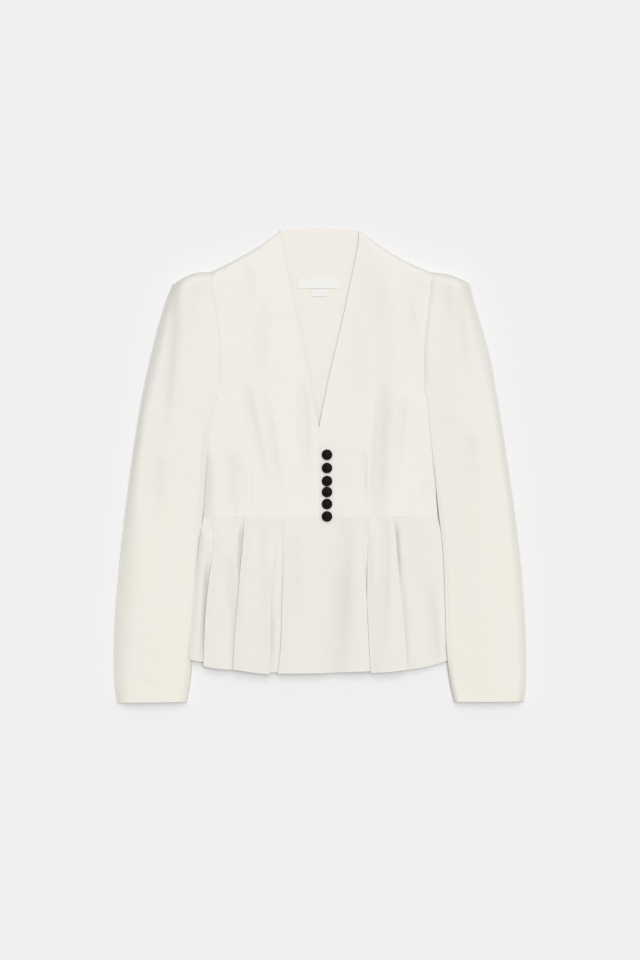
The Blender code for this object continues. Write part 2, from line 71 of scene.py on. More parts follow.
def through(values, at):
    """A cubic curve through evenly spaced values, whose slope at each value is that of its two neighbours."""
    slope = np.gradient(values)
    low = np.clip(np.floor(at).astype(int), 0, len(values) - 2)
    t = at - low
    rise = values[low + 1] - values[low]
    bend_in = slope[low] - rise
    bend_out = rise - slope[low + 1]
    return values[low] + t * rise + t * (1 - t) * ((1 - t) * bend_in + t * bend_out)


def ease(t):
    """A soft climb from 0 to 1: three t squared less two t cubed."""
    t = np.clip(t, 0, 1)
    return t * t * (3 - 2 * t)


def bell(distance, half):
    """A soft hump: e to the power of minus the square of distance over half width."""
    return np.exp(-((distance / half) ** 2))


def between(first, last, share):
    """The value at a share of the way from the first value to the last."""
    return first + (last - first) * share


def crowded(count, near, near_count, far, far_count):
    """Shares from 0 to 1, evenly spaced, but crowding as squares towards each end over the share given."""
    start = near * (np.arange(near_count) / max(near_count, 1)) ** 2
    end = 1 - far * (np.arange(far_count) / max(far_count, 1)) ** 2
    return np.concatenate((start, np.linspace(near, 1 - far, count), end[::-1]))


print("a curve through 0, 4, 2 read at 0.5:", through(np.array((0.0, 4.0, 2.0)), np.array((0.5,))))

# %% [markdown]
# ## The two fronts
# Each front is one panel from the raised collar down to the waist seam. Its inner edge is the V neck and the
# centre front, its outer edge is the armhole and then the side seam. Row by row, the panel is a straight rule
# between the two edges in plan. Its height is a soft arch that turns down to the back at the shoulder and at the
# side.

# %% Edges of the fronts
SIDES = ("left", "right")
WALL = 1.6
CLOTH = 1.0
SEAM_GAP = 0.3
RIM = WALL + SEAM_GAP
WAIST_Y = -75.5
UNDERARM = 5
EDGE_POWER = 2.4
SHOULDER_ROLL = 16.0
SIDE_ROLL = 20.0
SIDE_WALL = {"left": 0.3, "right": 0.7}
WALL_REACH = 0.5
SHOULDER_DIP = {"left": 5.0, "right": 6.0}
SHOULDER_DIP_SKEW = {"left": 0.7, "right": 1.0}
SHOULDER_DIP_ROWS = 5
NECK = by_side("x y z crown", left=(
    (-57, 342.5, 7, 12),
    (-54, 318, 7, 14),
    (-51, 299.5, 7, 15),
    (-44, 264.5, 7, 15.5),
    (-34, 216.5, 7, 15.5),
    (-23.5, 167, 7.5, 15.5),
    (-16, 128, 8, 15.5),
    (-10.5, 95, 9, 15.5),
    (-1.5, 48.5, 10, 16),
    (-1, -7, 10, 16),
    (-1, WAIST_Y, 10, 16),
), right=(
    (57, 341.5, 7, 12),
    (55, 318, 7, 14),
    (51.5, 299.5, 7, 15),
    (44, 264.5, 6.5, 15.5),
    (34, 216.5, 6.5, 15.5),
    (22.5, 167, 6.5, 15.5),
    (13, 128, 6.5, 15.5),
    (6.5, 95, 7, 15.5),
    (-3, 48.5, 7.6, 15.5),
    (-13.5, -7, 7.6, 15.5),
    (-13.5, WAIST_Y, 7.6, 15.5),
))
ARMHOLE = by_side("x y z lift", left=(
    (-157.5, 280.5, 20, 0),
    (-158, 261.5, 19, 0),
    (-154, 237, 18, 0),
    (-148, 189, 17, 0),
    (-146, 138, 15, 0),
    (-146, 108, 13, 13.1),
), right=(
    (161.5, 280, 20, 0),
    (161, 263, 19, 0),
    (158, 240, 18, 0),
    (153.5, 196, 17, 0),
    (151.5, 150, 15, 0),
    (151.5, 115, 13, 13.1),
))
SIDE = by_side("x y z", left=(
    (-164, 92, 12),
    (-190, 82, 11),
    (-180, 37, 10.5),
    (-169, -14, 10),
    (-170.2, WAIST_Y, 11),
), right=(
    (169.5, 98, 12),
    (195.5, 89, 11),
    (186, 45.5, 10.5),
    (169.2, -12.5, 10),
    (170.8, WAIST_Y, 10.5),
))


def roll(inset, radius):
    """Height share of an edge that turns down: a superellipse, 0 at the edge and 1 from the radius inwards."""
    short = 1 - np.clip(inset / radius, 0, 1)
    return (1 - short**EDGE_POWER) ** (1 / EDGE_POWER)


def soft_turn(inset, radius, wall):
    """Height share of a soft edge: a short wall, then a parabola that levels out at the radius inwards."""
    short = 1 - np.clip(inset / radius, 0, 1)
    return wall * ease(inset / WALL_REACH) + (1 - wall) * (1 - short**2)


def arch(first, middle, last, across):
    """Height across a panel, which eases from its first edge to its middle and on to its last edge."""
    near = between(first, middle, ease(2 * across))
    far = between(middle, last, ease(2 * across - 1))
    return np.where(across < 0.5, near, far)


def joined_line(above, below, at):
    """A line that follows the armhole to the underarm and another table from there on."""
    lower = np.append(above[UNDERARM], below)
    upper_part = through(above, np.minimum(at, UNDERARM))
    return np.where(at <= UNDERARM, upper_part, through(lower, np.maximum(at - UNDERARM, 0)))


def front_plan(side, at, across):
    """Plan of one front: a rule from neck edge to armhole or side seam, with a dip in the shoulder line."""
    near_x, near_y = (through(NECK[side][name], at) for name in ("x", "y"))
    far_x, far_y = (joined_line(ARMHOLE[side][name], SIDE[side][name], at) for name in ("x", "y"))
    dip_fade = np.clip(1 - at / SHOULDER_DIP_ROWS, 0, 1) ** 2
    dip = SHOULDER_DIP[side] * dip_fade * np.sin(np.pi * across ** SHOULDER_DIP_SKEW[side])
    return between(near_x, far_x, across), between(near_y, far_y, across) - dip


for side in SIDES:
    x, y = front_plan(side, np.array([[10.0]]), np.array([[0.0, 1.0]]))
    print(side, "front at the waist runs from x", x[0].round(1).tolist())

# %% [markdown]
# ## Creases
# Cloth that lies on a table is never even. The deep folds are long soft troughs. Between them run finer creases,
# the stitched lines of the waist darts and puckers along the seams. Each is a bell curve pressed into the
# height, which may be steeper on one side of its line than on the other. A row of a table stands for each, so
# that every one has its own length, depth and two widths. Sculpting by hand would do as well, but a table can be
# measured and changed. A sum of slow sine waves adds the faint unevenness that is left.

# %% Pressing creases into a panel
FADE_IN = 0.25
FADE_OUT = 0.5
WAVE_LENGTHS = (90.0, 62.0, 47.0, 33.0, 21.0)
PUCKER_LENGTHS = (11.0, 17.0, 29.0)


def creases(x, y, rows, fade_in=FADE_IN, fade_out=FADE_OUT):
    """Depth of the creases at each point: a half bell on each side of a line, fading in and out along it."""
    depth = np.zeros(np.broadcast(x, y).shape)
    for from_x, from_y, to_x, to_y, left, right, deepest in rows:
        run_x, run_y = to_x - from_x, to_y - from_y
        length = np.hypot(run_x, run_y)
        along = ((x - from_x) * run_x + (y - from_y) * run_y) / length**2
        off = ((x - from_x) * run_y - (y - from_y) * run_x) / length
        fade = ease(along / fade_in) * ease((1 - along) / fade_out)
        depth += deepest * fade * bell(off, np.where(off > 0, left, right))
    return depth


def unevenness(x, y, seed):
    """A faint waviness from -1 to 1: the mean of sine waves with seeded directions and phases."""
    dice = np.random.default_rng(seed)
    total = np.zeros(np.broadcast(x, y).shape)
    for length in WAVE_LENGTHS:
        turn, phase = dice.uniform(0, 2 * np.pi, 2)
        total += np.sin((x * np.cos(turn) + y * np.sin(turn)) * 2 * np.pi / length + phase)
    return total / len(WAVE_LENGTHS)


def puckers(along, seed):
    """Uneven gathers along a seam from -1 to 1: the mean of sine waves of unlike lengths with seeded phases."""
    count = len(PUCKER_LENGTHS)
    phases = np.random.default_rng(seed).uniform(0, 2 * np.pi, count)
    waves = zip(PUCKER_LENGTHS, phases)
    return sum(np.sin(along * 2 * np.pi / length + phase) for length, phase in waves) / count


halfway = creases(np.array(0.0), np.array(5.0), [(0, 10, 0, 0, 4, 4, 2)])
print("a 2 mm crease is", halfway.round(2), "mm deep halfway")

# %% [markdown]
# ## The lie of the fronts
# Now the fronts get their height. The tables list the soft folds and the stitched darts, each from one end to
# the other. A ditch runs along the armhole and, shallower, along the waist seam, with puckers beside it. The
# pressed neck edge stays smooth. How deep each point lies is kept as well, and shade is painted into the
# cloth's colour by that depth, in the folds and where the sides turn down.

# %% Heights of the fronts
FRONT_FOLDS = dict(left=(
    (-78, 245, -94, 95, 12, 12, 2.6),
    (-113, 130, -70, -60, 10, 8, 3.8),
    (-84, 120, -54, -85, 8, 8, 3),
    (-26, 140, -18, -60, 9, 7, 3.4),
    (-132, 25, -131, -95, 10, 12, 2.8),
    (-106, 300, -104, 205, 10, 12, 2),
    (-165, 35, -169, -125, 4, 10, 2),
), right=(
    (84, 285, 93, 60, 14, 16, 2.2),
    (91, 130, 74, -135, 9, 14, 6),
    (121, 105, 109, -25, 7, 6, 2.8),
    (128, 250, 132, 175, 8, 8, 1.8),
    (63, 25, 62.5, -78, 5, 5, 2.8),
    (151, -15, 151, -78, 7, 7, 1.6),
))
DARTS = dict(left=(
    (-101.7, 14, -101.7, -66, 1.3, 1.3, 0.7),
    (-84.8, 4, -84.8, -75, 1.3, 1.3, 0.6),
    (-65.5, -10, -65.5, -79, 1.3, 1.3, 0.5),
), right=(
    (65, 22, 65, -79, 1.3, 1.3, 0.7),
    (89.2, -10, 89.2, -79, 1.3, 1.3, 0.5),
))
DART_FADE = 0.1
SEAM_DITCH = 1.0
SEAM_DITCH_HALF = 2.2
DITCH_ROWS = 3.5
DITCH_FADE_ROWS = 1.5
SIDE_TURN_FROM = UNDERARM + 0.5
WAIST_DITCH = 0.1
PUCKER_HEIGHT = 0.3
PUCKER_REACH = 14.0
UNEVEN_HEIGHT = 0.4
PRESSED_EDGE = 30.0
FINE_STEPS = 40
SEEDS = {"waist": 3, "armhole": 5, "sleeve head": 8, "front": 11, "sleeve": 23, "peplum": 31, "back": 41}


def front_surface(side, stations, across):
    """Outer face of one front, an arch less folds, darts and ditches, turned down at its edges; and its depth."""
    at = stations[:, None]
    x, y = front_plan(side, at, across)
    near_z, crown = (through(NECK[side][name], at) for name in ("z", "crown"))
    height = arch(near_z, crown, joined_line(ARMHOLE[side]["z"], SIDE[side]["z"], at), across)
    folds = creases(x, y, FRONT_FOLDS[side])
    height = height - folds - creases(x, y, DARTS[side], DART_FADE, DART_FADE)
    from_shoulder = np.hypot(x - x[:1], y - y[:1])
    from_side = np.hypot(x - x[:, -1:], y - y[:, -1:])
    from_neck = np.hypot(x - x[:, :1], y - y[:, :1])
    from_waist = np.hypot(x - x[-1:], y - y[-1:])
    on_side = ease(at - SIDE_TURN_FROM)
    at_armhole = 1 - ease((at - DITCH_ROWS) / DITCH_FADE_ROWS)
    height = height - SEAM_DITCH * at_armhole * bell(from_side, SEAM_DITCH_HALF)
    height = height - WAIST_DITCH * bell(from_waist, SEAM_DITCH_HALF)
    gathered = puckers(x, SEEDS["waist"]) * bell(from_waist, PUCKER_REACH)
    gathered = gathered + puckers(y, SEEDS["armhole"]) * bell(from_side, PUCKER_REACH) * at_armhole
    loose = ease(from_neck / PRESSED_EDGE)
    height = height + loose * (PUCKER_HEIGHT * gathered + UNEVEN_HEIGHT * unevenness(x, y, SEEDS["front"]))
    turned = 1 - on_side * (1 - soft_turn(from_side, SIDE_ROLL, SIDE_WALL[side]))
    z = between(RIM, height, roll(from_shoulder, SHOULDER_ROLL) * turned)
    # The depth returned sets the painted shade: the folds, and how far the sides have turned down.
    return np.stack((x, y, z), axis=-1), folds + (1 - turned) * (height - RIM)


def even_stations(last_row, midway, shares):
    """Row numbers at the given shares of the length down the middle of a panel."""
    fine = np.linspace(0, last_row, FINE_STEPS * last_row + 1)
    x, y = midway(fine)
    length = np.append(0, np.cumsum(np.hypot(np.diff(x), np.diff(y))))
    return np.interp(shares * length[-1], length, fine)


LAST_FRONT_ROW = len(NECK["left"]["x"]) - 1
FRONT_ACROSS = crowded(78, near=0.02, near_count=3, far=0.14, far_count=14)[None, :]
FRONT_DOWN = crowded(140, near=0.05, near_count=14, far=0.015, far_count=3)
fronts, front_depths = {}, {}
for side in SIDES:
    stations = even_stations(LAST_FRONT_ROW, lambda at: front_plan(side, at, 0.5), FRONT_DOWN)
    fronts[side], front_depths[side] = front_surface(side, stations, FRONT_ACROSS)
    print(side, "front grid", fronts[side].shape[:2], "highest", fronts[side][..., 2].max().round(1), "mm")

# %% [markdown]
# ## From a grid to a sheet of cloth
# A panel of cloth has an outer face, an inner face and a thin edge. The inner face is the outer one moved
# inwards along its normals, which is what Solidify does; here it is done by hand so that each point can keep its
# place on the flat cut as a UV, in metres, and the depth of its fold. The finish reads both later: the weave
# follows every fold, and the depth darkens the colour as painted shade. The outlines of the two faces are marked
# sharp. Otherwise the thin edge would bend the shading of the faces and draw a dark line along each seam.

# %% Closed sheets
def facing(points, up=slice(None)):
    """Unit normals of a grid of points, turned so that the columns named face up on the whole."""
    normal = np.cross(np.gradient(points, axis=0), np.gradient(points, axis=1))
    normal *= np.sign(normal[:, up, 2].mean())
    return normal / np.linalg.norm(normal, axis=-1, keepdims=True)


def lengths_along(points, axis):
    """Distance run along one direction of a grid, from its first row or column."""
    step = np.linalg.norm(np.diff(points, axis=axis), axis=-1)
    start = np.zeros_like(np.take(step, [0], axis=axis))
    return np.concatenate((start, np.cumsum(step, axis=axis)), axis=axis)


def area_of(points):
    """Area of a grid: half the cross product of the two diagonals of each cell."""
    one = points[1:, 1:] - points[:-1, :-1]
    other = points[1:, :-1] - points[:-1, 1:]
    return np.linalg.norm(np.cross(one, other), axis=-1).sum() / 2


def closed_mesh(name, outer, inner, cut, mottle_and_painted_shade):
    """A closed sheet: two smooth faces, and a flat edge that joins their sharp outlines."""
    rows, across = outer.shape[:2]
    count = rows * across
    index = np.arange(count).reshape(rows, across)
    quads = np.stack((index[:-1, :-1], index[1:, :-1], index[1:, 1:], index[:-1, 1:]), axis=-1).reshape(-1, 4)
    loop = np.concatenate((index[0, :-1], index[:-1, -1], index[-1, :0:-1], index[:0:-1, 0]))
    ahead = np.roll(loop, -1)
    edge = np.stack((loop, ahead, ahead + count, loop + count), axis=-1)
    faces = np.concatenate((quads, quads[:, ::-1] + count, edge))
    across_ways = np.cross(np.gradient(outer, axis=0), np.gradient(outer, axis=1))
    if (across_ways * (outer - inner)).sum() < 0:
        faces = faces[:, ::-1]
    points = np.concatenate((outer.reshape(-1, 3), inner.reshape(-1, 3))) * MM
    mesh = bpy.data.meshes.new(name)
    mesh.from_pydata(points.tolist(), [], faces.tolist())
    mesh.polygons.foreach_set("use_smooth", np.arange(len(faces)) < 2 * len(quads))
    on_outline = np.isin(np.arange(2 * count) % count, loop)
    ends = np.empty(2 * len(mesh.edges), np.int32)
    mesh.edges.foreach_get("vertices", ends)
    mesh.edges.foreach_set("use_edge_sharp", on_outline[ends.reshape(-1, 2)].all(axis=1))
    on_cut = np.tile(cut.reshape(-1, 2) * MM, (2, 1))
    layer = mesh.uv_layers.new(name="cut")
    layer.data.foreach_set("uv", on_cut[faces.ravel()].astype(np.float32).ravel())
    # Painted shade: how far each point's colour is darkened, from the depth of its fold.
    on_points = np.tile(np.broadcast_to(mottle_and_painted_shade, (rows, across)).ravel(), 2).astype(np.float32)
    mesh.attributes.new("painted_fold_shade", "FLOAT", "POINT").data.foreach_set("value", on_points)
    mesh.update()
    return mesh


def placed(name, data):
    """A new object in the scene, with the mesh, light or camera given."""
    made = bpy.data.objects.new(name, data)
    bpy.context.scene.collection.objects.link(made)
    return made


def dress(name, mesh, finish, slot, *nodes):
    """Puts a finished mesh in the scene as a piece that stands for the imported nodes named."""
    mesh.materials.append(finish)
    piece = placed(name, mesh)
    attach(piece, "root")
    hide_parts(*nodes)
    print(name, "has", sum(len(face.vertices) - 2 for face in mesh.polygons), "triangles")
    return piece


def cloth_piece(name, outer, inner, cut, finish, nodes, mottle_and_painted_shade=0.0, slot="cloth"):
    """A sheet of cloth, put in the scene as a piece that stands for the imported nodes named."""
    piece = dress(name, closed_mesh(name, outer, inner, cut, mottle_and_painted_shade), finish, slot, *nodes)
    return piece


print("the area of a 3 by 2 grid:", area_of(np.stack(np.meshgrid((0, 3), (0, 2), (0,)), -1)[..., 0, :]))

# %% [markdown]
# ## The cloth's finish
# The cloth is a plain weave of uneven, linen-like yarn, cream with a faint warm and cool mottling. Here and
# there a thicker bit of yarn, a slub, shows as a short pale dash. An image could hold the weave, but a
# procedural material stays sharp at any distance. Two sine bands at right angles make the threads, a stretched
# noise makes the slubs, and slow noise makes the mottling. The threads are about half a millimetre each, so they
# are bump and not geometry. The sleeves grow a little warmer towards the cuffs. Where a fold dips, shade is
# painted into the cloth's colour, because light that bounces between pale folds would wash most of their shading
# out. The peplum's copy of the cloth is painted a little darker too, as painted shade among its pleats.

# %% Woven cloth
THREAD_PAIR = 0.0011
# Painted shade: the colour the cloth darkens towards in its folds, and how much per millimetre of depth.
PAINTED_SHADE_COLOUR = (0.43, 0.40, 0.345)
PAINTED_SHADE_PER_MM = 0.028
HALF_SLEEVE = 0.31
BANDS_LENGTH = 0.314
MOTTLE_PATCHES = (14.0, 9.0, 3.0)
STREAK_PATCHES = ((9.0, 620.0), (620.0, 7.0))
SLUB_PATCHES = (62.0, 780.0, 0.0)
FIBRE_PATCHES = (2600.0, 2600.0, 1.0)
MOTTLE_SHARE = 0.7
STREAK_SHARE = 0.15
SLUB_STOPS = ((0.70, (0, 0, 0)), (0.76, (1, 1, 1)))
SLUB_PALENESS = 0.5
SLUB_RAISED = 1.2
FIBRE_RAISED = 0.4
CLOTH_BUMP = (0.5, 0.00025)
MIX_FACTOR, MIX_FIRST, MIX_SECOND, MIX_RESULT = 0, 6, 7, 2


def new_finish(name):
    """A new material, its node tree and its main shader."""
    material = bpy.data.materials.new(name)
    material.use_nodes = True
    return material, material.node_tree, material.node_tree.nodes["Principled BSDF"]


def add(tree, kind, settings=(), values=(), links=()):
    """A shader node with its settings, the values of its sockets, and the sockets that feed it."""
    made = tree.nodes.new("ShaderNode" + kind)
    for name, value in dict(settings).items():
        setattr(made, name, value)
    for name, value in dict(values).items():
        made.inputs[name].default_value = value
    for name, source in dict(links).items():
        tree.links.new(source, made.inputs[name])
    return made


def ramp(tree, factor, stops):
    """A colour ramp with the stops given as place and colour."""
    made = add(tree, "ValToRGB", links={"Fac": factor})
    while len(made.color_ramp.elements) < len(stops):
        made.color_ramp.elements.new(0.5)
    for element, (place, colour) in zip(made.color_ramp.elements, stops):
        element.position = place
        element.color = (*colour, 1)
    return made.outputs["Color"]


def stretched_noise(tree, place, across, down, detail=2.0):
    """Noise with the given number of patches in a metre across and down the cloth."""
    stretched = add(tree, "Mapping", values={"Scale": (across, down, 1)}, links={"Vector": place})
    noise = add(tree, "TexNoise", values={"Scale": 1.0, "Detail": detail}, links={"Vector": stretched.outputs[0]})
    return noise.outputs["Fac"]


def threads(tree, place, direction):
    """Sine bands in one direction, a pair of threads to each, bent a little by noise."""
    settings = {"wave_type": "BANDS", "bands_direction": direction, "wave_profile": "SIN"}
    values = {"Scale": BANDS_LENGTH / THREAD_PAIR, "Distortion": 0.9, "Detail": 1.0, "Detail Scale": 0.6}
    return add(tree, "TexWave", settings, values, {"Vector": place}).outputs["Fac"]


def math(tree, operation, first, second):
    """One arithmetic step between a socket and a socket or number."""
    made = add(tree, "Math", {"operation": operation}, links={0: first})
    if isinstance(second, (int, float)):
        made.inputs[1].default_value = second
    else:
        tree.links.new(second, made.inputs[1])
    return made.outputs[0]


def tinted(tree, factor, ground, colour):
    """A colour socket mixed towards a plain colour, by the share that the factor socket gives."""
    links = {MIX_FACTOR: factor, MIX_FIRST: ground}
    return add(tree, "Mix", {"data_type": "RGBA"}, {MIX_SECOND: (*colour, 1)}, links).outputs[MIX_RESULT]


def feed(tree, shader, colour, height, bump, grain, roughness, specular):
    """Feeds the main shader: its colour, its bumps (strength and height) and a roughness that follows a grain."""
    raised = add(tree, "Bump", values=dict(zip(("Strength", "Distance"), bump)), links={"Height": height})
    spread, least = roughness
    rough = math(tree, "ADD", math(tree, "MULTIPLY", grain, spread), least)
    sources = {"Base Color": colour, "Normal": raised.outputs["Normal"], "Roughness": rough}
    for name, source in sources.items():
        tree.links.new(source, shader.inputs[name])
    shader.inputs["Specular IOR Level"].default_value = specular


def woven_cloth(name, cool, warm, pale_slub, warming):
    """Cloth whose colour wanders between two tones and warms down its length, with painted shade in folds and a
    weave.
    """
    material, tree, shader = new_finish(name)
    place = add(tree, "UVMap", {"uv_map": "cut"}).outputs["UV"]
    mottle = stretched_noise(tree, place, *MOTTLE_PATCHES)
    streaks = math(tree, "ADD", *(stretched_noise(tree, place, *patches) for patches in STREAK_PATCHES))
    mottle = math(tree, "MULTIPLY", mottle, MOTTLE_SHARE)
    mottle_and_painted_shade = math(tree, "ADD", mottle, math(tree, "MULTIPLY", streaks, STREAK_SHARE))
    down = add(tree, "SeparateXYZ", links={"Vector": place}).outputs["Y"]
    mottle_and_painted_shade = math(tree, "ADD", mottle_and_painted_shade, math(tree, "MULTIPLY", math(tree, "ADD", down, HALF_SLEEVE), -warming))
    slub = ramp(tree, stretched_noise(tree, place, *SLUB_PATCHES), SLUB_STOPS)
    ground = ramp(tree, mottle_and_painted_shade, ((0.38, cool), (0.62, warm)))
    slubbed = tinted(tree, math(tree, "MULTIPLY", slub, SLUB_PALENESS), ground, pale_slub)
    # Painted shade: the colour darkens towards the shade colour where the folds are deepest.
    depth = add(tree, "Attribute", {"attribute_name": "painted_fold_shade"}).outputs["Fac"]
    colour = tinted(tree, depth, slubbed, PAINTED_SHADE_COLOUR)
    fibre = stretched_noise(tree, place, *FIBRE_PATCHES)
    weave = math(tree, "MULTIPLY", threads(tree, place, "X"), threads(tree, place, "Y"))
    raised = math(tree, "ADD", weave, math(tree, "MULTIPLY", slub, SLUB_RAISED))
    raised = math(tree, "ADD", raised, math(tree, "MULTIPLY", fibre, FIBRE_RAISED))
    feed(tree, shader, colour, raised, CLOTH_BUMP, fibre, roughness=(0.12, 0.82), specular=0.12)
    shader.inputs["Sheen Weight"].default_value = 0.06
    shader.inputs["Sheen Roughness"].default_value = 0.5
    return material


CLOTH_TONES = {
    "body": ((0.748, 0.728, 0.69), (0.76, 0.728, 0.685), (0.795, 0.78, 0.748), 0.0),
    "sleeve": ((0.747, 0.724, 0.688), (0.75, 0.724, 0.655), (0.79, 0.774, 0.731), 0.36),
    # Painted shade: the peplum's copy of the same cloth is a little darker, for the shade among its pleats.
    "peplum": ((0.726, 0.706, 0.664), (0.737, 0.706, 0.659), (0.775, 0.757, 0.72), 0.0),
    "inside": ((0.757, 0.731, 0.676), (0.766, 0.727, 0.667), (0.79, 0.765, 0.725), 0.0),
}
cloths = {panel: woven_cloth(f"ivory_{panel}_cloth", *tones) for panel, tones in CLOTH_TONES.items()}
print("cloth finishes:", [cloth.name for cloth in cloths.values()])

# %% [markdown]
# ## Sewing up the fronts
# With the shapes, the sheets and the finish in hand, each front becomes a piece. On its cut the threads run
# straight down and across the jacket, as on a real front, so its plan is its UV.

# %% Front pieces
def inward(points, thickness, lowest, up=slice(None)):
    """Inner face of a wall: the outer one moved in along its normals, but no lower than the height given."""
    inner = points - thickness * facing(points, up)
    inner[..., 2] = np.maximum(inner[..., 2], lowest)
    return inner


for side in SIDES:
    outer = fronts[side]
    # Painted shade from the depth of each fold and of the turned-down sides.
    inner, mottle_and_painted_shade = inward(outer, CLOTH, RIM), PAINTED_SHADE_PER_MM * front_depths[side]
    name, nodes = f"front_{side}_cloth", [f"front_{side}"]
    cloth_piece(name, outer, inner, outer[..., :2], cloths["body"], nodes, mottle_and_painted_shade)

# %% [markdown]
# ## Sleeves
# A set-in sleeve is a tube that lies flat: an upper half with a squared, built-up head and an under half on the
# floor. Its section at each row runs out over the upper half, turns round the outer edge and comes back below,
# so one grid makes the whole tube. The seam is at the inner fold, out of sight, and the cloth is pared thin
# towards it, so that the two edges have room to meet. At the armhole the tube is open.

# %% Lines of the sleeves
HEAD_ROLL = 18.0
INNER_FOLD_ROLL = {"left": 13.5, "right": 8.0}
INNER_FOLD_WALL = 0.45
OUTER_FOLD = 3.5
OUTER_FOLD_ROUND = 1.5
SEAM_LIFT = 12.6
ARMHOLE_GAP = 0.03
SEAM_STEP = 0.85
SEAM_THIN = 0.4
SEAM_REACH = 5.0
HELD_REACH = 10.0
HEAD_BOW = {"left": 6.2, "right": 4.2}
HEAD_BOW_ROWS = 4
LIFT_FROM = 0.25
LIFT_OVER = 0.5
FOLD = by_side("x y lift held", left=(
    (-157, 73, 12.8, 0),
    (-161, 37, 11.5, 0),
    (-165, -7, 7.8, 0),
    (-169, -65, 5.8, 0),
    (-174, -130, 0, 0),
    (-179, -202, 0, 0),
    (-184.5, -265, 0, 0),
    (-187, -305, 0, 0),
    (-193, -343, 0, 0),
), right=(
    (157, 77.5, 13.2, 0),
    (160.5, 37, 11.6, 8.8),
    (165, -7, 9.4, 8.8),
    (171, -65, 4, 8.8),
    (178.2, -130, 0, 9.3),
    (180.8, -202, 0, 9.3),
    (183, -265, 0, 9.3),
    (187, -310, 0, 0),
    (194, -343, 0, 0),
))
EDGE = by_side("x y z crown roll seam", left=(
    (-215, 261.5, 22, 26, 22, 20),
    (-225, 235.5, 21, 26, 27, 19),
    (-236, 199, 20, 24, 28, 18),
    (-248, 150, 17, 21, 22, 17),
    (-257, 109, 15, 20, 17, 16),
    (-263.5, 73, 14, 20, 14, 15.5),
    (-269, 37, 14, 20, 14, 16),
    (-275, -4, 14, 19, 15, 15.5),
    (-281, -50, 15, 18, 20, 15),
    (-287.5, -105, 18, 18, 30, 14),
    (-293.5, -166, 20, 18.5, 40, 13),
    (-298, -224, 20, 18.5, 40, 13),
    (-299.5, -268, 17, 17, 32, 13),
    (-299, -310, 14, 15.5, 24, 13),
    (-295.5, -344.5, 13, 15, 18, 13),
), right=(
    (217.5, 264, 22, 24.5, 24, 20),
    (225, 234, 20, 24, 28, 19),
    (234.5, 202, 19, 22.5, 30, 18),
    (246.5, 158.5, 17, 20.5, 24, 17),
    (253.5, 122.5, 15, 19.5, 18, 16),
    (261, 77.5, 14, 19, 14, 15),
    (267, 41, 14, 19, 14, 14.5),
    (273.5, -4, 14, 18.5, 14, 13.5),
    (280, -47, 14, 18, 14, 13),
    (287, -101, 15, 18.5, 16, 13.5),
    (293.5, -159, 15, 18, 18, 13.5),
    (297.5, -221, 15, 18, 18, 13.5),
    (299.5, -268, 14, 17, 16, 13.5),
    (299.5, -315, 13, 15.5, 13, 13),
    (296, -342.5, 13, 15, 12, 13),
))
SLEEVE_FOLDS = dict(left=(
    (-209, 268, -231, 20, 8, 10, 4.4),
    (-180, 270, -182, 180, 8, 8, 1.2),
    (-232, 20, -245, -90, 12, 12, 2.4),
    (-162, 80, -171, -110, 6, 3, 3),
), right=(
    (205, 268, 208, 105, 9, 8, 2.6),
    (184, 270, 186, 190, 8, 8, 1),
    (213, 60, 224, -70, 12, 12, 2.2),
))
SEAM_STAND = {"left": 0.0, "right": 1.4}
SEAM_STAND_HALF = 7.0


def settled(across):
    """Share of the lift across a sleeve: whole at the inner fold, and none from three quarters of the way out."""
    return 1 - ease((across - LIFT_FROM) / LIFT_OVER)


def sleeve_plan(side, at, across):
    """Plan of one sleeve, a rule from armhole or inner fold to outer edge, and the height of its underside."""
    armhole, fold, edge = ARMHOLE[side], FOLD[side], EDGE[side]
    near_x, near_y, lift = (joined_line(armhole[name], fold[name], at) for name in ("x", "y", "lift"))
    held = through(np.append(np.zeros(UNDERARM + 1), fold["held"]), at)
    near_x = near_x + np.sign(near_x) * np.where(at <= UNDERARM, ARMHOLE_GAP, SEAM_GAP)
    bow = HEAD_BOW[side] * np.clip(1 - at / HEAD_BOW_ROWS, 0, 1) ** 2 * np.sin(np.pi * across)
    x = between(near_x, through(edge["x"], at), across)
    y = between(near_y, through(edge["y"], at), across) + bow
    inset = np.hypot(x - near_x, y - near_y)
    lifted = np.maximum(lift, 0) * settled(across)
    held_up = np.maximum(held, 0) * (1 - ease(inset / HELD_REACH))
    return x, y, np.maximum(lifted, held_up)


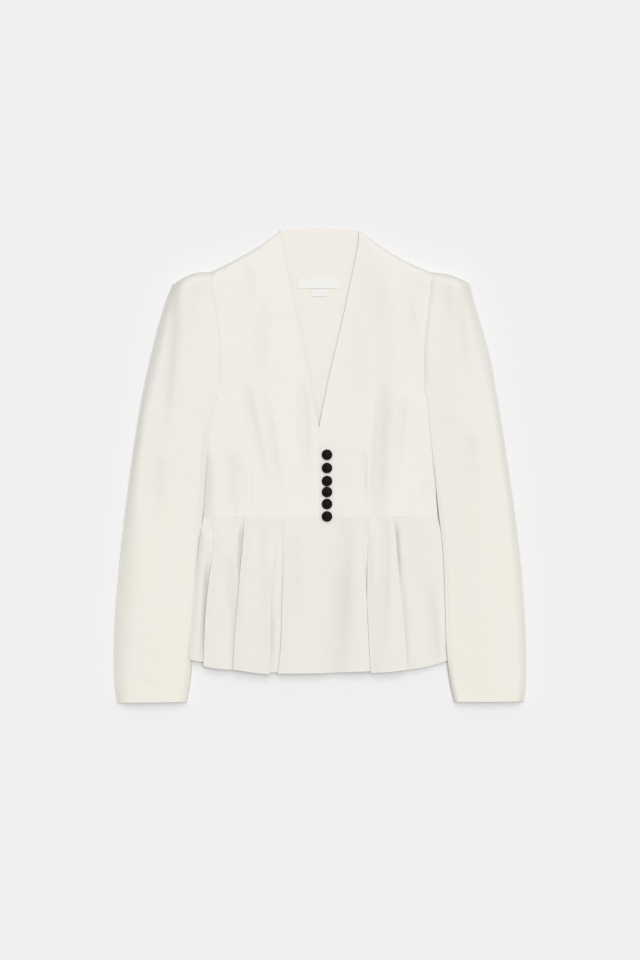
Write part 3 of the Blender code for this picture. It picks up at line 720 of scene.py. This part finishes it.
def upper_sleeve(side, at, across):
    """Outer face of the upper sleeve: an arch less its folds, turned down at the head, inner fold and edge."""
    edge = EDGE[side]
    x, y, low = sleeve_plan(side, at, across)
    at_underarm = ease(at - UNDERARM + 2) * ease(UNDERARM + 1 - at)
    base = SEAM_STEP + np.maximum(low, SEAM_LIFT * at_underarm * settled(across))
    from_top = np.hypot(x - x[:1], y - y[:1])
    from_inner = np.hypot(x - x[:, :1], y - y[:, :1])
    from_outer = np.hypot(x - x[:, -1:], y - y[:, -1:])
    free = ease(at - (UNDERARM - 1))
    wall = INNER_FOLD_WALL * ease((at - UNDERARM - 1) / 2)
    inner_turn = 1 - free * (1 - soft_turn(from_inner, INNER_FOLD_ROLL[side], wall))
    outer_turn = soft_turn(from_outer, through(edge["roll"], at), 0)
    height = arch(*(through(edge[name], at) for name in ("seam", "crown", "z")), across)
    height = height - creases(x, y, SLEEVE_FOLDS[side])
    height = height + SEAM_STAND[side] * bell(from_inner - SEAM_STAND_HALF, SEAM_STAND_HALF) * (1 - free)
    height = height - SEAM_DITCH * bell(from_inner, SEAM_DITCH_HALF) * (1 - free)
    gathered = puckers(y, SEEDS["sleeve head"]) * bell(from_inner, PUCKER_REACH)
    height = height + PUCKER_HEIGHT * gathered * (1 - free)
    height = np.maximum(height + UNEVEN_HEIGHT * unevenness(x, y, SEEDS["sleeve"]), base)
    head = roll(from_top, HEAD_ROLL)
    edge_z = between(base, np.maximum(OUTER_FOLD, base), head)
    inner_half = between(base, height, head * inner_turn)
    outer_half = between(edge_z, np.maximum(inner_half, edge_z), outer_turn)
    z = np.where(from_outer > from_inner, inner_half, outer_half)
    return np.stack((x, y, z), axis=-1)


def sleeve_tube(side, at, across, turn, back):
    """The whole section of each row: over the upper half, round a half ellipse at the edge, and back below."""
    edges = np.zeros((1, 1)), np.ones((1, 1))
    near, far = (np.stack(sleeve_plan(side, at, share)[:2], axis=-1) for share in edges)
    width = np.linalg.norm(far - near, axis=-1)
    outward = (far - near) / width[..., None]
    reach = 1 - OUTER_FOLD_ROUND / width
    upper = upper_sleeve(side, at, across * reach)
    angle = turn[None, :, None]
    bend_plan = upper[:, -1:, :2] + outward * OUTER_FOLD_ROUND * np.sin(angle)
    bend_z = upper[:, -1:, 2:] * (1 + np.cos(angle)) / 2
    under = np.stack(sleeve_plan(side, at, back * reach), axis=-1)
    return np.concatenate((upper, np.concatenate((bend_plan, bend_z), axis=-1), under), axis=1)


LAST_SLEEVE_ROW = len(EDGE["left"]["x"]) - 1
SLEEVE_ACROSS = crowded(52, near=0.14, near_count=14, far=0.24, far_count=20)[None, :]
SLEEVE_DOWN = crowded(170, near=0.035, near_count=14, far=0.01, far_count=3)
TURN = np.linspace(0, np.pi, 11)[1:]
UNDER_BACK = np.linspace(0.97, 0, 40)[None, :]
for side in SIDES:
    stations = even_stations(LAST_SLEEVE_ROW, lambda at: sleeve_plan(side, at, 0.5)[:2], SLEEVE_DOWN)[:, None]
    tube = sleeve_tube(side, stations, SLEEVE_ACROSS, TURN, UNDER_BACK)
    over = slice(0, SLEEVE_ACROSS.size)
    middle = SLEEVE_ACROSS.size // 2
    across_cut = lengths_along(tube, 1)
    from_seam = np.minimum(across_cut, across_cut[:, -1:] - across_cut)
    pared = CLOTH * between(SEAM_THIN, 1, ease(from_seam / SEAM_REACH))[..., None]
    across_cut = across_cut - across_cut[:, middle : middle + 1]
    down_cut = np.broadcast_to(lengths_along(tube, 0)[:, middle : middle + 1], across_cut.shape)
    inner, cut = tube - pared * facing(tube, over), np.stack((across_cut, -down_cut), axis=-1)
    # Painted shade along the sleeve's folds.
    mottle_and_painted_shade = PAINTED_SHADE_PER_MM * creases(tube[..., 0], tube[..., 1], SLEEVE_FOLDS[side])
    name, nodes = f"sleeve_{side}_cloth", [f"sleeve_{side}_upper", f"sleeve_{side}_under"]
    cloth_piece(name, tube, inner, cut, cloths["sleeve"], nodes, mottle_and_painted_shade)

# %% [markdown]
# ## Peplum
# The skirt below the waist is a long strip folded back and forth: a run of cloth goes one way, turns round a
# fold and comes back one layer lower. Each fold line is given by its places from the waist down to the hem. A
# row of the next table stands for each run: the layers that it lies in, where it starts to rise, and how far its
# ends hang below the common hem line. Soft folds and hollows between the pleats follow. Cloth simulation could
# fold the strip too, but would not put each fold where it belongs.

# %% Runs of the pleats
PLEAT_WALL = 0.7
PRESSED_SHARE = 0.85
HEM_Y = -301.5
HEM_RISE = 20.8
HEM_REACH = 190.0
HEM_POWER = 4
HEM_SIDE = 180.0
TOP_LAYER = 2
LAYER_STEP_WAIST = 0.36
LAYER_STEP_HEM = 1.6
LAYERS_OPEN_AT = 0.6
PEPLUM_HEIGHTS = {"left": (15.2, 15.4, 16.0), "right": (14.3, 14.9, 9.5)}
PEPLUM_SWELL = 3.0
PEPLUM_SWELL_AT = 0.33
FOLD_DROOP = 1.8
FOLD_DROOP_HALF = 8.0
SIDE_DROOP = {"left": 1.2, "right": 1.5}
SIDE_DROOP_REACH = 14.0
WAIST_GAP = 0.01
SIDE_SEAM_Z = {"left": 5.5, "right": 6.5}
SEAM_BLEND = 0.15
LEVELS = 6


def straight(waist, hem):
    """A fold line that runs straight from the waist to the hem."""
    return tuple(np.linspace(waist, hem, LEVELS + 1))


FOLD_LINES = dict(left=(
    straight(2, 4),
    (-54, -53.9, -53.5, -55.3, -56, -57.5, -61.8),
    straight(-45, -45),
    straight(-72, -92),
    (-61.5, -62.5, -66, -69.5, -71, -71.6, -72.6),
    (-110, -112, -115.8, -118.6, -122.2, -124.8, -126.8),
    straight(-98, -106),
    (-157, -154.2, -159, -163.5, -166.6, -168.4, -169.5),
    straight(-146, -150),
    (-169.3, -174.6, -178.6, -182, -184.8, -188, -190.5),
), right=(
    straight(-10.5, -10.5),
    (65, 63.8, 65.6, 67.4, 69, 70.8, 73),
    straight(54, 54),
    straight(80, 95),
    (69.4, 69.6, 68.4, 67.7, 69.2, 71, 73.2),
    (107.2, 110.3, 114, 117.6, 121.6, 124.6, 127.2),
    straight(96, 108),
    (171, 177.8, 180.8, 182.1, 183.5, 184.7, 185.3),
))
SHOWN_FOLDS = {"left": (1, 4, 5, 7), "right": (1, 4, 5)}
PLEAT_RUNS = by_side("layer_from layer_to rise_from drop_from drop_to", left=(
    (2, 2, 0, 0, 0.5),
    (1, 1, 0, -1.5, -2),
    (0, 0, 0, -1, -1),
    (1, 1, 0, -2, -1),
    (2, 2, 0, 1.5, -1.5),
    (1, 1, 0, -3, -3),
    (0, 2, 0.3, -2, 2),
    (1, 1, 0, -3, -5),
    (0, 2, 0.5, -6, 0),
), right=(
    (2, 2, 0, 0, -2.5),
    (1, 1, 0, -4, -4),
    (0, 0, 0, -3, -3),
    (1, 1, 0, -2, -2),
    (2, 2, 0, 0, -1),
    (1, 1, 0, -3, -3),
    (0, 2, 0.25, -1, 0),
))
PEPLUM_FOLDS = dict(left=(
    (-36, -70, -36, -245, 8, 8, 1.8),
    (-85, -60, -84, -190, 7, 7, 1.6),
    (-74, -130, -86, -380, 14, 10, 2.2),
    (-132, -130, -122, -245, 8, 6, 3),
    (-140, -205, -146, -265, 5, 5, 1.2),
    (-170.8, -30, -200.3, -400, 4, 7.5, 4.1),
), right=(
    (36, -40, 31, -290, 16, 12, 2.8),
    (31, -130, 14, -420, 14, 15, 4),
    (96.5, -50, 93, -245, 9, 6, 3),
    (154, -160, 172, -340, 7, 9, 3.4),
    (140, -62, 143, -210, 12, 12, 1.4),
    (84, -150, 86, -350, 10, 16, 2.6),
    (177.3, -60, 191.3, -400, 3, 3, 0.8),
    (184.2, -250, 187.5, -330, 4, 4, 2.2),
))
PLEAT_HOLLOWS = dict(left=(
    (-160, -120, -171, -325, 4.5, 7, 4.6),
    (-110, -74, -117, -195, 5, 7, 4.4),
    (-118, -150, -128, -360, 5, 7, 2),
    (-54, -100, -58, -330, 4, 4, 0.8),
    (-71, -200, -73, -330, 5, 5, 1.5),
), right=(
    (67, -130, 70, -255, 5, 5, 1.2),
    (107, -74, 114, -195, 7, 5, 4.4),
    (116, -150, 128, -360, 7, 5, 2),
    (71, -240, 75, -330, 5, 5, 0.6),
))


def hem_y(x):
    """The hem's line: lowest at the centre front, rising to the sides with the fourth power of x."""
    return HEM_Y + HEM_RISE * np.abs(x / HEM_REACH) ** HEM_POWER


print("the hem rises", (hem_y(HEM_SIDE) - hem_y(0.0)).round(1), "mm to the side")

# %% [markdown]
# ## Folding the strip
# With the tables in hand, the strip is laid run by run, and half circles join the runs at the fold lines. At the
# waist seam the layers are pressed thin and take the height of the front that they are sewn to. Further down
# they open. The strip is worked out as one middle line in each row, and its two faces lie half a wall to either
# side.

# %% Folding the strip
RUN_SPACING = 1.6
LEAST_STEPS = 6
TURN_STEPS = 10
PLEAT_UNEVEN = 0.25


def run_value(runs, name, number, share):
    """One property along a run, eased from the run's first end to its last."""
    first, last = runs[f"{name}_from"][number], runs[f"{name}_to"][number]
    return between(first, last, ease(share))


def peplum_height(side, x, y, down, lines):
    """Height of the top layer: that of the front at the seam, easing to an arch less its folds and soft sides."""
    centre, middle, outer = PEPLUM_HEIGHTS[side]
    middle = middle + PEPLUM_SWELL * ease(down / PEPLUM_SWELL_AT)
    across = np.clip((x - lines[:, :1]) / (lines[:, -1:] - lines[:, :1]), 0, 1)
    height = arch(centre, middle, outer, across) - creases(x, y, PEPLUM_FOLDS[side])
    for number in SHOWN_FOLDS[side]:
        height = height - FOLD_DROOP * bell(x - lines[:, number : number + 1], FOLD_DROOP_HALF)
    from_side = np.abs(x - lines[:, -1:])
    height = height - SIDE_DROOP[side] * (1 - soft_turn(from_side, SIDE_DROOP_REACH, 0))
    height = height + PLEAT_UNEVEN * unevenness(x, y, SEEDS["peplum"])
    sewn_to = fronts[side][-1][np.argsort(fronts[side][-1][:, 0])]
    sewn_z = np.maximum(np.interp(x, sewn_to[:, 0], sewn_to[:, 2]), SIDE_SEAM_Z[side])
    return between(sewn_z - PRESSED_SHARE * LAYER_STEP_WAIST / 2, height, ease(down / SEAM_BLEND))


def layer_step(down):
    """Height from layer to layer, which opens from the seam to the hem."""
    return between(LAYER_STEP_WAIST, LAYER_STEP_HEM, ease(down / LAYERS_OPEN_AT))


def pleat_wall(down):
    """Thickness of the pleated cloth, pressed thin where its layers are sewn in."""
    return np.minimum(PLEAT_WALL, PRESSED_SHARE * layer_step(down))


def pleated_line(side, down):
    """Middle line of the folded strip, row by row, and its crease depth: runs joined by half circles."""
    runs = PLEAT_RUNS[side]
    lines = np.concatenate([through(np.array(line), down * LEVELS) for line in FOLD_LINES[side]], axis=1)
    gap = layer_step(down)
    inset = (gap + pleat_wall(down)) / 2
    top_y = WAIST_Y - WAIST_GAP
    turn = np.linspace(0, np.pi, TURN_STEPS + 1)[None, 1:-1, None]
    parts = []
    final = lines.shape[1] - 2
    for number in range(final + 1):
        start, end = lines[:, number : number + 1], lines[:, number + 1 : number + 2]
        way = np.sign(end[0, 0] - start[0, 0])
        first = start + (way * inset if number > 0 else 0)
        last = end - (way * inset if number < final else 0)
        share = np.linspace(0, 1, max(LEAST_STEPS, round(np.abs(end - start).max() / RUN_SPACING)))[None, :]
        rise = (share - runs["rise_from"][number]) / (1 - runs["rise_from"][number])
        layer, drop = run_value(runs, "layer", number, rise), run_value(runs, "drop", number, share)
        x = between(first, last, share)
        y = between(top_y, hem_y(x) - drop, down)
        below = TOP_LAYER - layer
        sunk = creases(x, y, PLEAT_HOLLOWS[side]) * (below / TOP_LAYER if number % 2 == 0 else 0)
        # Painted shade: the peplum's folds and the hollows between its pleats.
        mottle_and_painted_shade = creases(x, y, PEPLUM_FOLDS[side]) + sunk
        run = np.stack((x, y, peplum_height(side, x, y, down, lines) - below * gap - sunk, mottle_and_painted_shade), axis=-1)
        if parts:
            before = parts[-1][:, -1:]
            half = (before - run[:, :1]) / 2
            bend = (before + run[:, :1]) / 2 + half * np.cos(turn)
            bend[..., :1] -= way * np.abs(half[..., 2:3]) * np.sin(turn)
            parts.append(bend)
        parts.append(run)
    return np.concatenate(parts, axis=1)


def both_faces(line, wall):
    """The two faces of a folded strip: its middle line moved half a wall each way, square to its section."""
    ways = np.diff(line[..., (0, 2)], axis=1)
    ways = ways / np.linalg.norm(ways, axis=-1, keepdims=True)
    tangent = np.concatenate((ways[:, :1], ways[:, :-1] + ways[:, 1:], ways[:, -1:]), axis=1)
    tangent = tangent / np.linalg.norm(tangent, axis=-1, keepdims=True)
    out = np.stack((-tangent[..., 1], np.zeros(line.shape[:2]), tangent[..., 0]), axis=-1)
    out = out * np.sign(line[0, -1, 0] - line[0, 0, 0])
    return line + out * wall / 2, line - out * wall / 2


PEPLUM_DOWN = crowded(84, near=0.03, near_count=4, far=0.02, far_count=3)[:, None]
for side in SIDES:
    folded = pleated_line(side, PEPLUM_DOWN)
    # Painted shade per point, from the depth of folds and hollows.
    line, mottle_and_painted_shade = folded[..., :3], PAINTED_SHADE_PER_MM * folded[..., 3]
    outer, inner = both_faces(line, pleat_wall(PEPLUM_DOWN)[..., None])
    cut = np.stack((lengths_along(line, 1), line[..., 1]), axis=-1)
    name, nodes = f"peplum_{side}_cloth", [f"peplum_{side}"]
    cloth_piece(name, outer, inner, cut, cloths["peplum"], nodes, mottle_and_painted_shade)

# %% [markdown]
# ## The back
# The back lies flat on the floor below everything else. Only the inside of its neck shows, through the V. Its
# outline is taken from the outer edges of the fronts, so that the two meet at the shoulder and side seams. The
# collar stand is sewn on along the back neck seam, and a narrow strip below the seam stands a little prouder
# than the rest.

# %% Back, collar and back peplum
NECK_SEAM_Y = 303.0
NECK_GAP = 0.02
COLLAR_RISE = 2.5
HIDDEN_HEM = 4.0
BACK_CLEAR = 1.0
BACK_HOLLOW = 0.3
BACK_UNEVEN = 0.3
WAIST_TO_HEM_ROWS = (9, 13)
STRIP_WIDTH = 5.0
STRIP_EDGE = 2.0
BACK_ACROSS, BACK_UP = 110, 120
COLLAR_UP = 30
HIDDEN_ACROSS, HIDDEN_DOWN = 90, 70
EDGE_POINTS = 60


def outline_x(side, y):
    """Where the back's outline lies at a height: along the shoulder, down the armhole and down the side seam."""
    line = np.concatenate((fronts[side][0, :, :2], fronts[side][1:, -1, :2]))[::-1]
    return np.interp(y, line[:, 1], line[:, 0])


def flat_piece(name, x, y, rise, finish, node):
    """A sheet that rests flat, its underside on the floor and its upper face a wall and a rise above it."""
    top = np.stack((x, y, WALL + rise), axis=-1)
    bottom = np.stack((x, y, np.zeros_like(x)), axis=-1)
    return cloth_piece(name, top, bottom, top[..., :2], finish, [node])


across = np.linspace(0, 1, BACK_ACROSS)[None, :]
up = crowded(BACK_UP, near=0, near_count=0, far=0.025, far_count=12)[:, None] + 0 * across
y = between(WAIST_Y, NECK_SEAM_Y - NECK_GAP / 2, up)
x = between(outline_x("left", y), outline_x("right", y), across)
below_strip = ease((NECK_SEAM_Y - STRIP_WIDTH - y) / STRIP_EDGE)
waves = unevenness(x * 2, y / 2, SEEDS["back"])
rise = -BACK_HOLLOW * (1 - BACK_UNEVEN + BACK_UNEVEN * waves) * below_strip
flat_piece("back_cloth", x, y, rise, cloths["inside"], "back_bodice")

up = np.linspace(0, 1, COLLAR_UP)[:, None]
foot = NECK_SEAM_Y + NECK_GAP / 2
left_y, right_y = (between(foot, NECK[side]["y"][0], up) for side in SIDES)
x = between(outline_x("left", left_y), outline_x("right", right_y), across)
y = between(left_y, right_y, across) + COLLAR_RISE * np.sin(np.pi * across) * up
flat_piece("collar_cloth", x, y, np.zeros_like(x), cloths["inside"], "collar_stand")

edge_rows = np.linspace(*WAIST_TO_HEM_ROWS, EDGE_POINTS)
edge_x, edge_y, _ = sleeve_plan("left", edge_rows, 0.0)
down = np.linspace(0, 1, HIDDEN_DOWN)[:, None]
top_y = WAIST_Y - SEAM_GAP
side_y = between(top_y, hem_y(HEM_SIDE) + HIDDEN_HEM, down)
reach = -np.interp(side_y, edge_y[::-1], edge_x[::-1]) - BACK_CLEAR - SEAM_GAP
x = reach * np.linspace(-1, 1, HIDDEN_ACROSS)[None, :]
y = between(top_y, hem_y(x) + HIDDEN_HEM, down)
flat_piece("back_peplum_cloth", x, y, np.zeros_like(x), cloths["inside"], "back_peplum")

# %% [markdown]
# ## Label and size tab
# A woven label is sewn below the back neck seam, with a small tab under it. Both are left bare. Each is a short
# piece of satin ribbon that bows up a little between its sewn ends.

# %% Satin ribbon
LABEL_WALL = 0.5
LABEL_BOW = 0.4
BOW_FROM, BOW_TO = 0.15, 0.85
LABEL_GRID = (60, 16)
RIBBON_BUMP = (0.3, 0.0001)


def satin_ribbon():
    """White ribbon: fine bands across it make the satin's floats, and slow noise a faint change of tone."""
    material, tree, shader = new_finish("white_satin_ribbon")
    place = add(tree, "UVMap", {"uv_map": "cut"}).outputs["UV"]
    mottle_and_painted_shade = stretched_noise(tree, place, 60.0, 900.0)
    colour = ramp(tree, mottle_and_painted_shade, ((0.35, (0.71, 0.706, 0.68)), (0.65, (0.731, 0.727, 0.701))))
    feed(tree, shader, colour, threads(tree, place, "Y"), RIBBON_BUMP, mottle_and_painted_shade, roughness=(0.15, 0.5), specular=0.3)
    return material


ribbon = satin_ribbon()
for node in ("neck_label", "size_tab"):
    low, high = (np.array(corner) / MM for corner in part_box(node))
    across, down = np.meshgrid(*(np.linspace(0, 1, count) for count in LABEL_GRID))
    x, y = between(low[0], high[0], across), between(high[1], low[1], down)
    bow = LABEL_BOW * np.sin(np.pi * across) * np.sin(np.pi * between(BOW_FROM, BOW_TO, down))
    inner = np.stack((x, y, low[2] + bow), axis=-1)
    outer = inner + np.array((0, 0, LABEL_WALL))
    cloth_piece(f"{node}_ribbon", outer, inner, outer[..., :2], ribbon, [node], slot="label")

# %% [markdown]
# ## Buttons
# Six low black buttons close the front. Each is turned about its own axis like a pot on a wheel: a profile of
# radius and height is carried round in a circle. The foot of the profile is the sewn shank, which sinks into the
# cloth.

# %% Turned buttons
BUTTON_SIDES = 56
BUTTON_PROFILE = columns("radius height", (
    (0, -1.8),
    (1.8, -1.8),
    (2, -0.2),
    (2.8, 0.05),
    (6, 0.1),
    (7.1, 0.5),
    (7.6, 1.3),
    (7.7, 2.1),
    (7.5, 2.9),
    (7, 3.4),
    (6.3, 3.62),
    (5.4, 3.7),
    (4.2, 3.95),
    (2.8, 4.3),
    (1.4, 4.58),
    (0, 4.7),
))
PROFILE_STEPS = 4
LEAST_RADIUS = 0.05
BUTTON_COUNT = 6
BUTTON_BUMP = (0.15, 0.0002)


def turned(name, profile, centre):
    """A closed body of revolution: rings of points round the centre, and a point at each end of the axis."""
    last = len(profile["radius"]) - 1
    at = np.linspace(0, last, PROFILE_STEPS * last + 1)
    radius, height = (through(profile[name], at)[1:-1] for name in ("radius", "height"))
    angle = np.arange(BUTTON_SIDES) * 2 * np.pi / BUTTON_SIDES
    ring = np.stack((np.cos(angle), np.sin(angle), np.zeros(BUTTON_SIDES)), axis=-1)
    rings = ring[None] * np.maximum(radius, LEAST_RADIUS)[:, None, None]
    rings[..., 2] = height[:, None]
    ends = np.array([(0, 0, profile["height"][end]) for end in (0, -1)])
    points = np.concatenate((rings.reshape(-1, 3), ends)) + centre
    index = np.arange(len(radius) * BUTTON_SIDES).reshape(-1, BUTTON_SIDES)
    ahead = np.roll(index, -1, axis=1)
    quads = np.stack((index[:-1], ahead[:-1], ahead[1:], index[1:]), axis=-1).reshape(-1, 4)
    foot = np.stack((ahead[0], index[0], np.full(BUTTON_SIDES, index.size)), axis=-1)
    crown = np.stack((index[-1], ahead[-1], np.full(BUTTON_SIDES, index.size + 1)), axis=-1)
    mesh = bpy.data.meshes.new(name)
    mesh.from_pydata((points * MM).tolist(), [], quads.tolist() + foot.tolist() + crown.tolist())
    mesh.polygons.foreach_set("use_smooth", np.ones(len(mesh.polygons), bool))
    mesh.update()
    return mesh


def black_button():
    """Matte black: a very dark mottled colour, and a roughness that wanders with fine noise."""
    material, tree, shader = new_finish("matte_black_button")
    place = add(tree, "TexCoord").outputs["Object"]
    values = {"Scale": 900.0, "Detail": 3.0}
    grain = add(tree, "TexNoise", values=values, links={"Vector": place}).outputs["Fac"]
    colour = ramp(tree, grain, ((0.3, (0.0022, 0.0017, 0.0012)), (0.7, (0.0045, 0.0036, 0.0026))))
    feed(tree, shader, colour, grain, BUTTON_BUMP, grain, roughness=(0.2, 0.42), specular=0.07)
    return material


button_finish = black_button()
for number in range(1, BUTTON_COUNT + 1):
    low, high = (np.array(corner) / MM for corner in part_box(f"button_{number}"))
    centre = np.array(((low[0] + high[0]) / 2, (low[1] + high[1]) / 2, low[2]))
    mesh = turned(f"button_{number}_turned", BUTTON_PROFILE, centre)
    dress(f"button_{number}_turned", mesh, button_finish, "button", f"button_{number}")

# %% [markdown]
# ## Floor
# The jacket lies on a pale even floor. One square face is enough, far wider than the view, so that its edges do
# not show. It is no part of the jacket, and it lies a hair below the cloth.

# %% Floor
FLOOR_GREY = 0.74
FLOOR_HALF = 30.0
FLOOR_DROP = 0.0003
floor_mesh = bpy.data.meshes.new("floor")
corners = np.array(((-1, -1, 0), (1, -1, 0), (1, 1, 0), (-1, 1, 0))) * FLOOR_HALF - (0, 0, FLOOR_DROP)
floor_mesh.from_pydata(corners.tolist(), [], [(0, 1, 2, 3)])
floor = placed("floor", floor_mesh)
floor_finish, _, floor_shader = new_finish("pale_floor")
floor_shader.inputs["Base Color"].default_value = (FLOOR_GREY, FLOOR_GREY, FLOOR_GREY, 1)
floor_shader.inputs["Roughness"].default_value = 1.0
floor_shader.inputs["Specular IOR Level"].default_value = 0.0
floor_mesh.materials.append(floor_finish)
print("floor", 2 * FLOOR_HALF, "m square")

# %% [markdown]
# ## Light
# The light is soft. Most of it comes from above, leaning a little to the right, so that slopes which face left
# are darker. A row of narrow suns leans up the jacket towards the collar. Together they draw the soft shadow
# below the hem and the cuffs; one large area light would do it too, but would fall off across the floor. A dim
# sky fills the rest.

# %% Suns and sky
LIGHT = 1.177
KEY_SHARE = 0.44
KEY_LEANS = (8.0, 2.0)
KEY_WIDTH = 28.0
ROW_SHARE = 0.27
ROW_LEANS = (4.0, 13.0, 22.0, 31.0, 40.0)
ROW_SIDE_LEAN = 2.0
ROW_WIDTH = 9.0
SKY_SHARE = 0.29


def sun(name, lean_x, lean_y, width, share):
    """A sun that leans to +X and +Y by the angles given; share is the part of the floor's light that it gives."""
    light = bpy.data.lights.new(name, "SUN")
    way = Vector((np.tan(np.radians(lean_x)), np.tan(np.radians(lean_y)), 1)).normalized()
    light.energy = LIGHT * share * np.pi / way.z
    light.angle = np.radians(width)
    made = placed(name, light)
    made.rotation_mode = "QUATERNION"
    made.rotation_quaternion = way.to_track_quat("Z", "Y")


sun("key_sun", *KEY_LEANS, KEY_WIDTH, KEY_SHARE)
for lean in ROW_LEANS:
    sun(f"row_sun_{lean:.0f}", ROW_SIDE_LEAN, lean, ROW_WIDTH, ROW_SHARE / len(ROW_LEANS))
sky = bpy.data.worlds.new("soft_sky")
sky.use_nodes = True
sky.node_tree.nodes["Background"].inputs["Color"].default_value = (1, 1, 1, 1)
sky.node_tree.nodes["Background"].inputs["Strength"].default_value = LIGHT * SKY_SHARE
bpy.context.scene.world = sky
bpy.context.scene.view_settings.view_transform = "Standard"
print("light on the floor:", LIGHT * (KEY_SHARE + ROW_SHARE + SKY_SHARE))

# %% [markdown]
# ## Camera
# The view is straight down, from far enough away that the sleeves and the buttons are seen without slant. One
# pixel of the 640 by 960 picture is 1.45 mm at the height of the cloth, which sets the lens.

# %% View from above
PIXEL = 1.45 * MM
PICTURE_HEIGHT = 960
CAMERA_X, CAMERA_Y, CAMERA_HEIGHT = -0.0002, -0.0212, 6.0
CLOTH_HEIGHT = 0.012
SENSOR = 36.0
camera_data = bpy.data.cameras.new("camera")
camera_data.sensor_width = SENSOR
camera_data.lens = SENSOR * (CAMERA_HEIGHT - CLOTH_HEIGHT) / (PICTURE_HEIGHT * PIXEL)
camera = placed("camera", camera_data)
camera.location = (CAMERA_X, CAMERA_Y, CAMERA_HEIGHT)
bpy.context.scene.camera = camera
print("lens", round(camera_data.lens, 1), "mm")
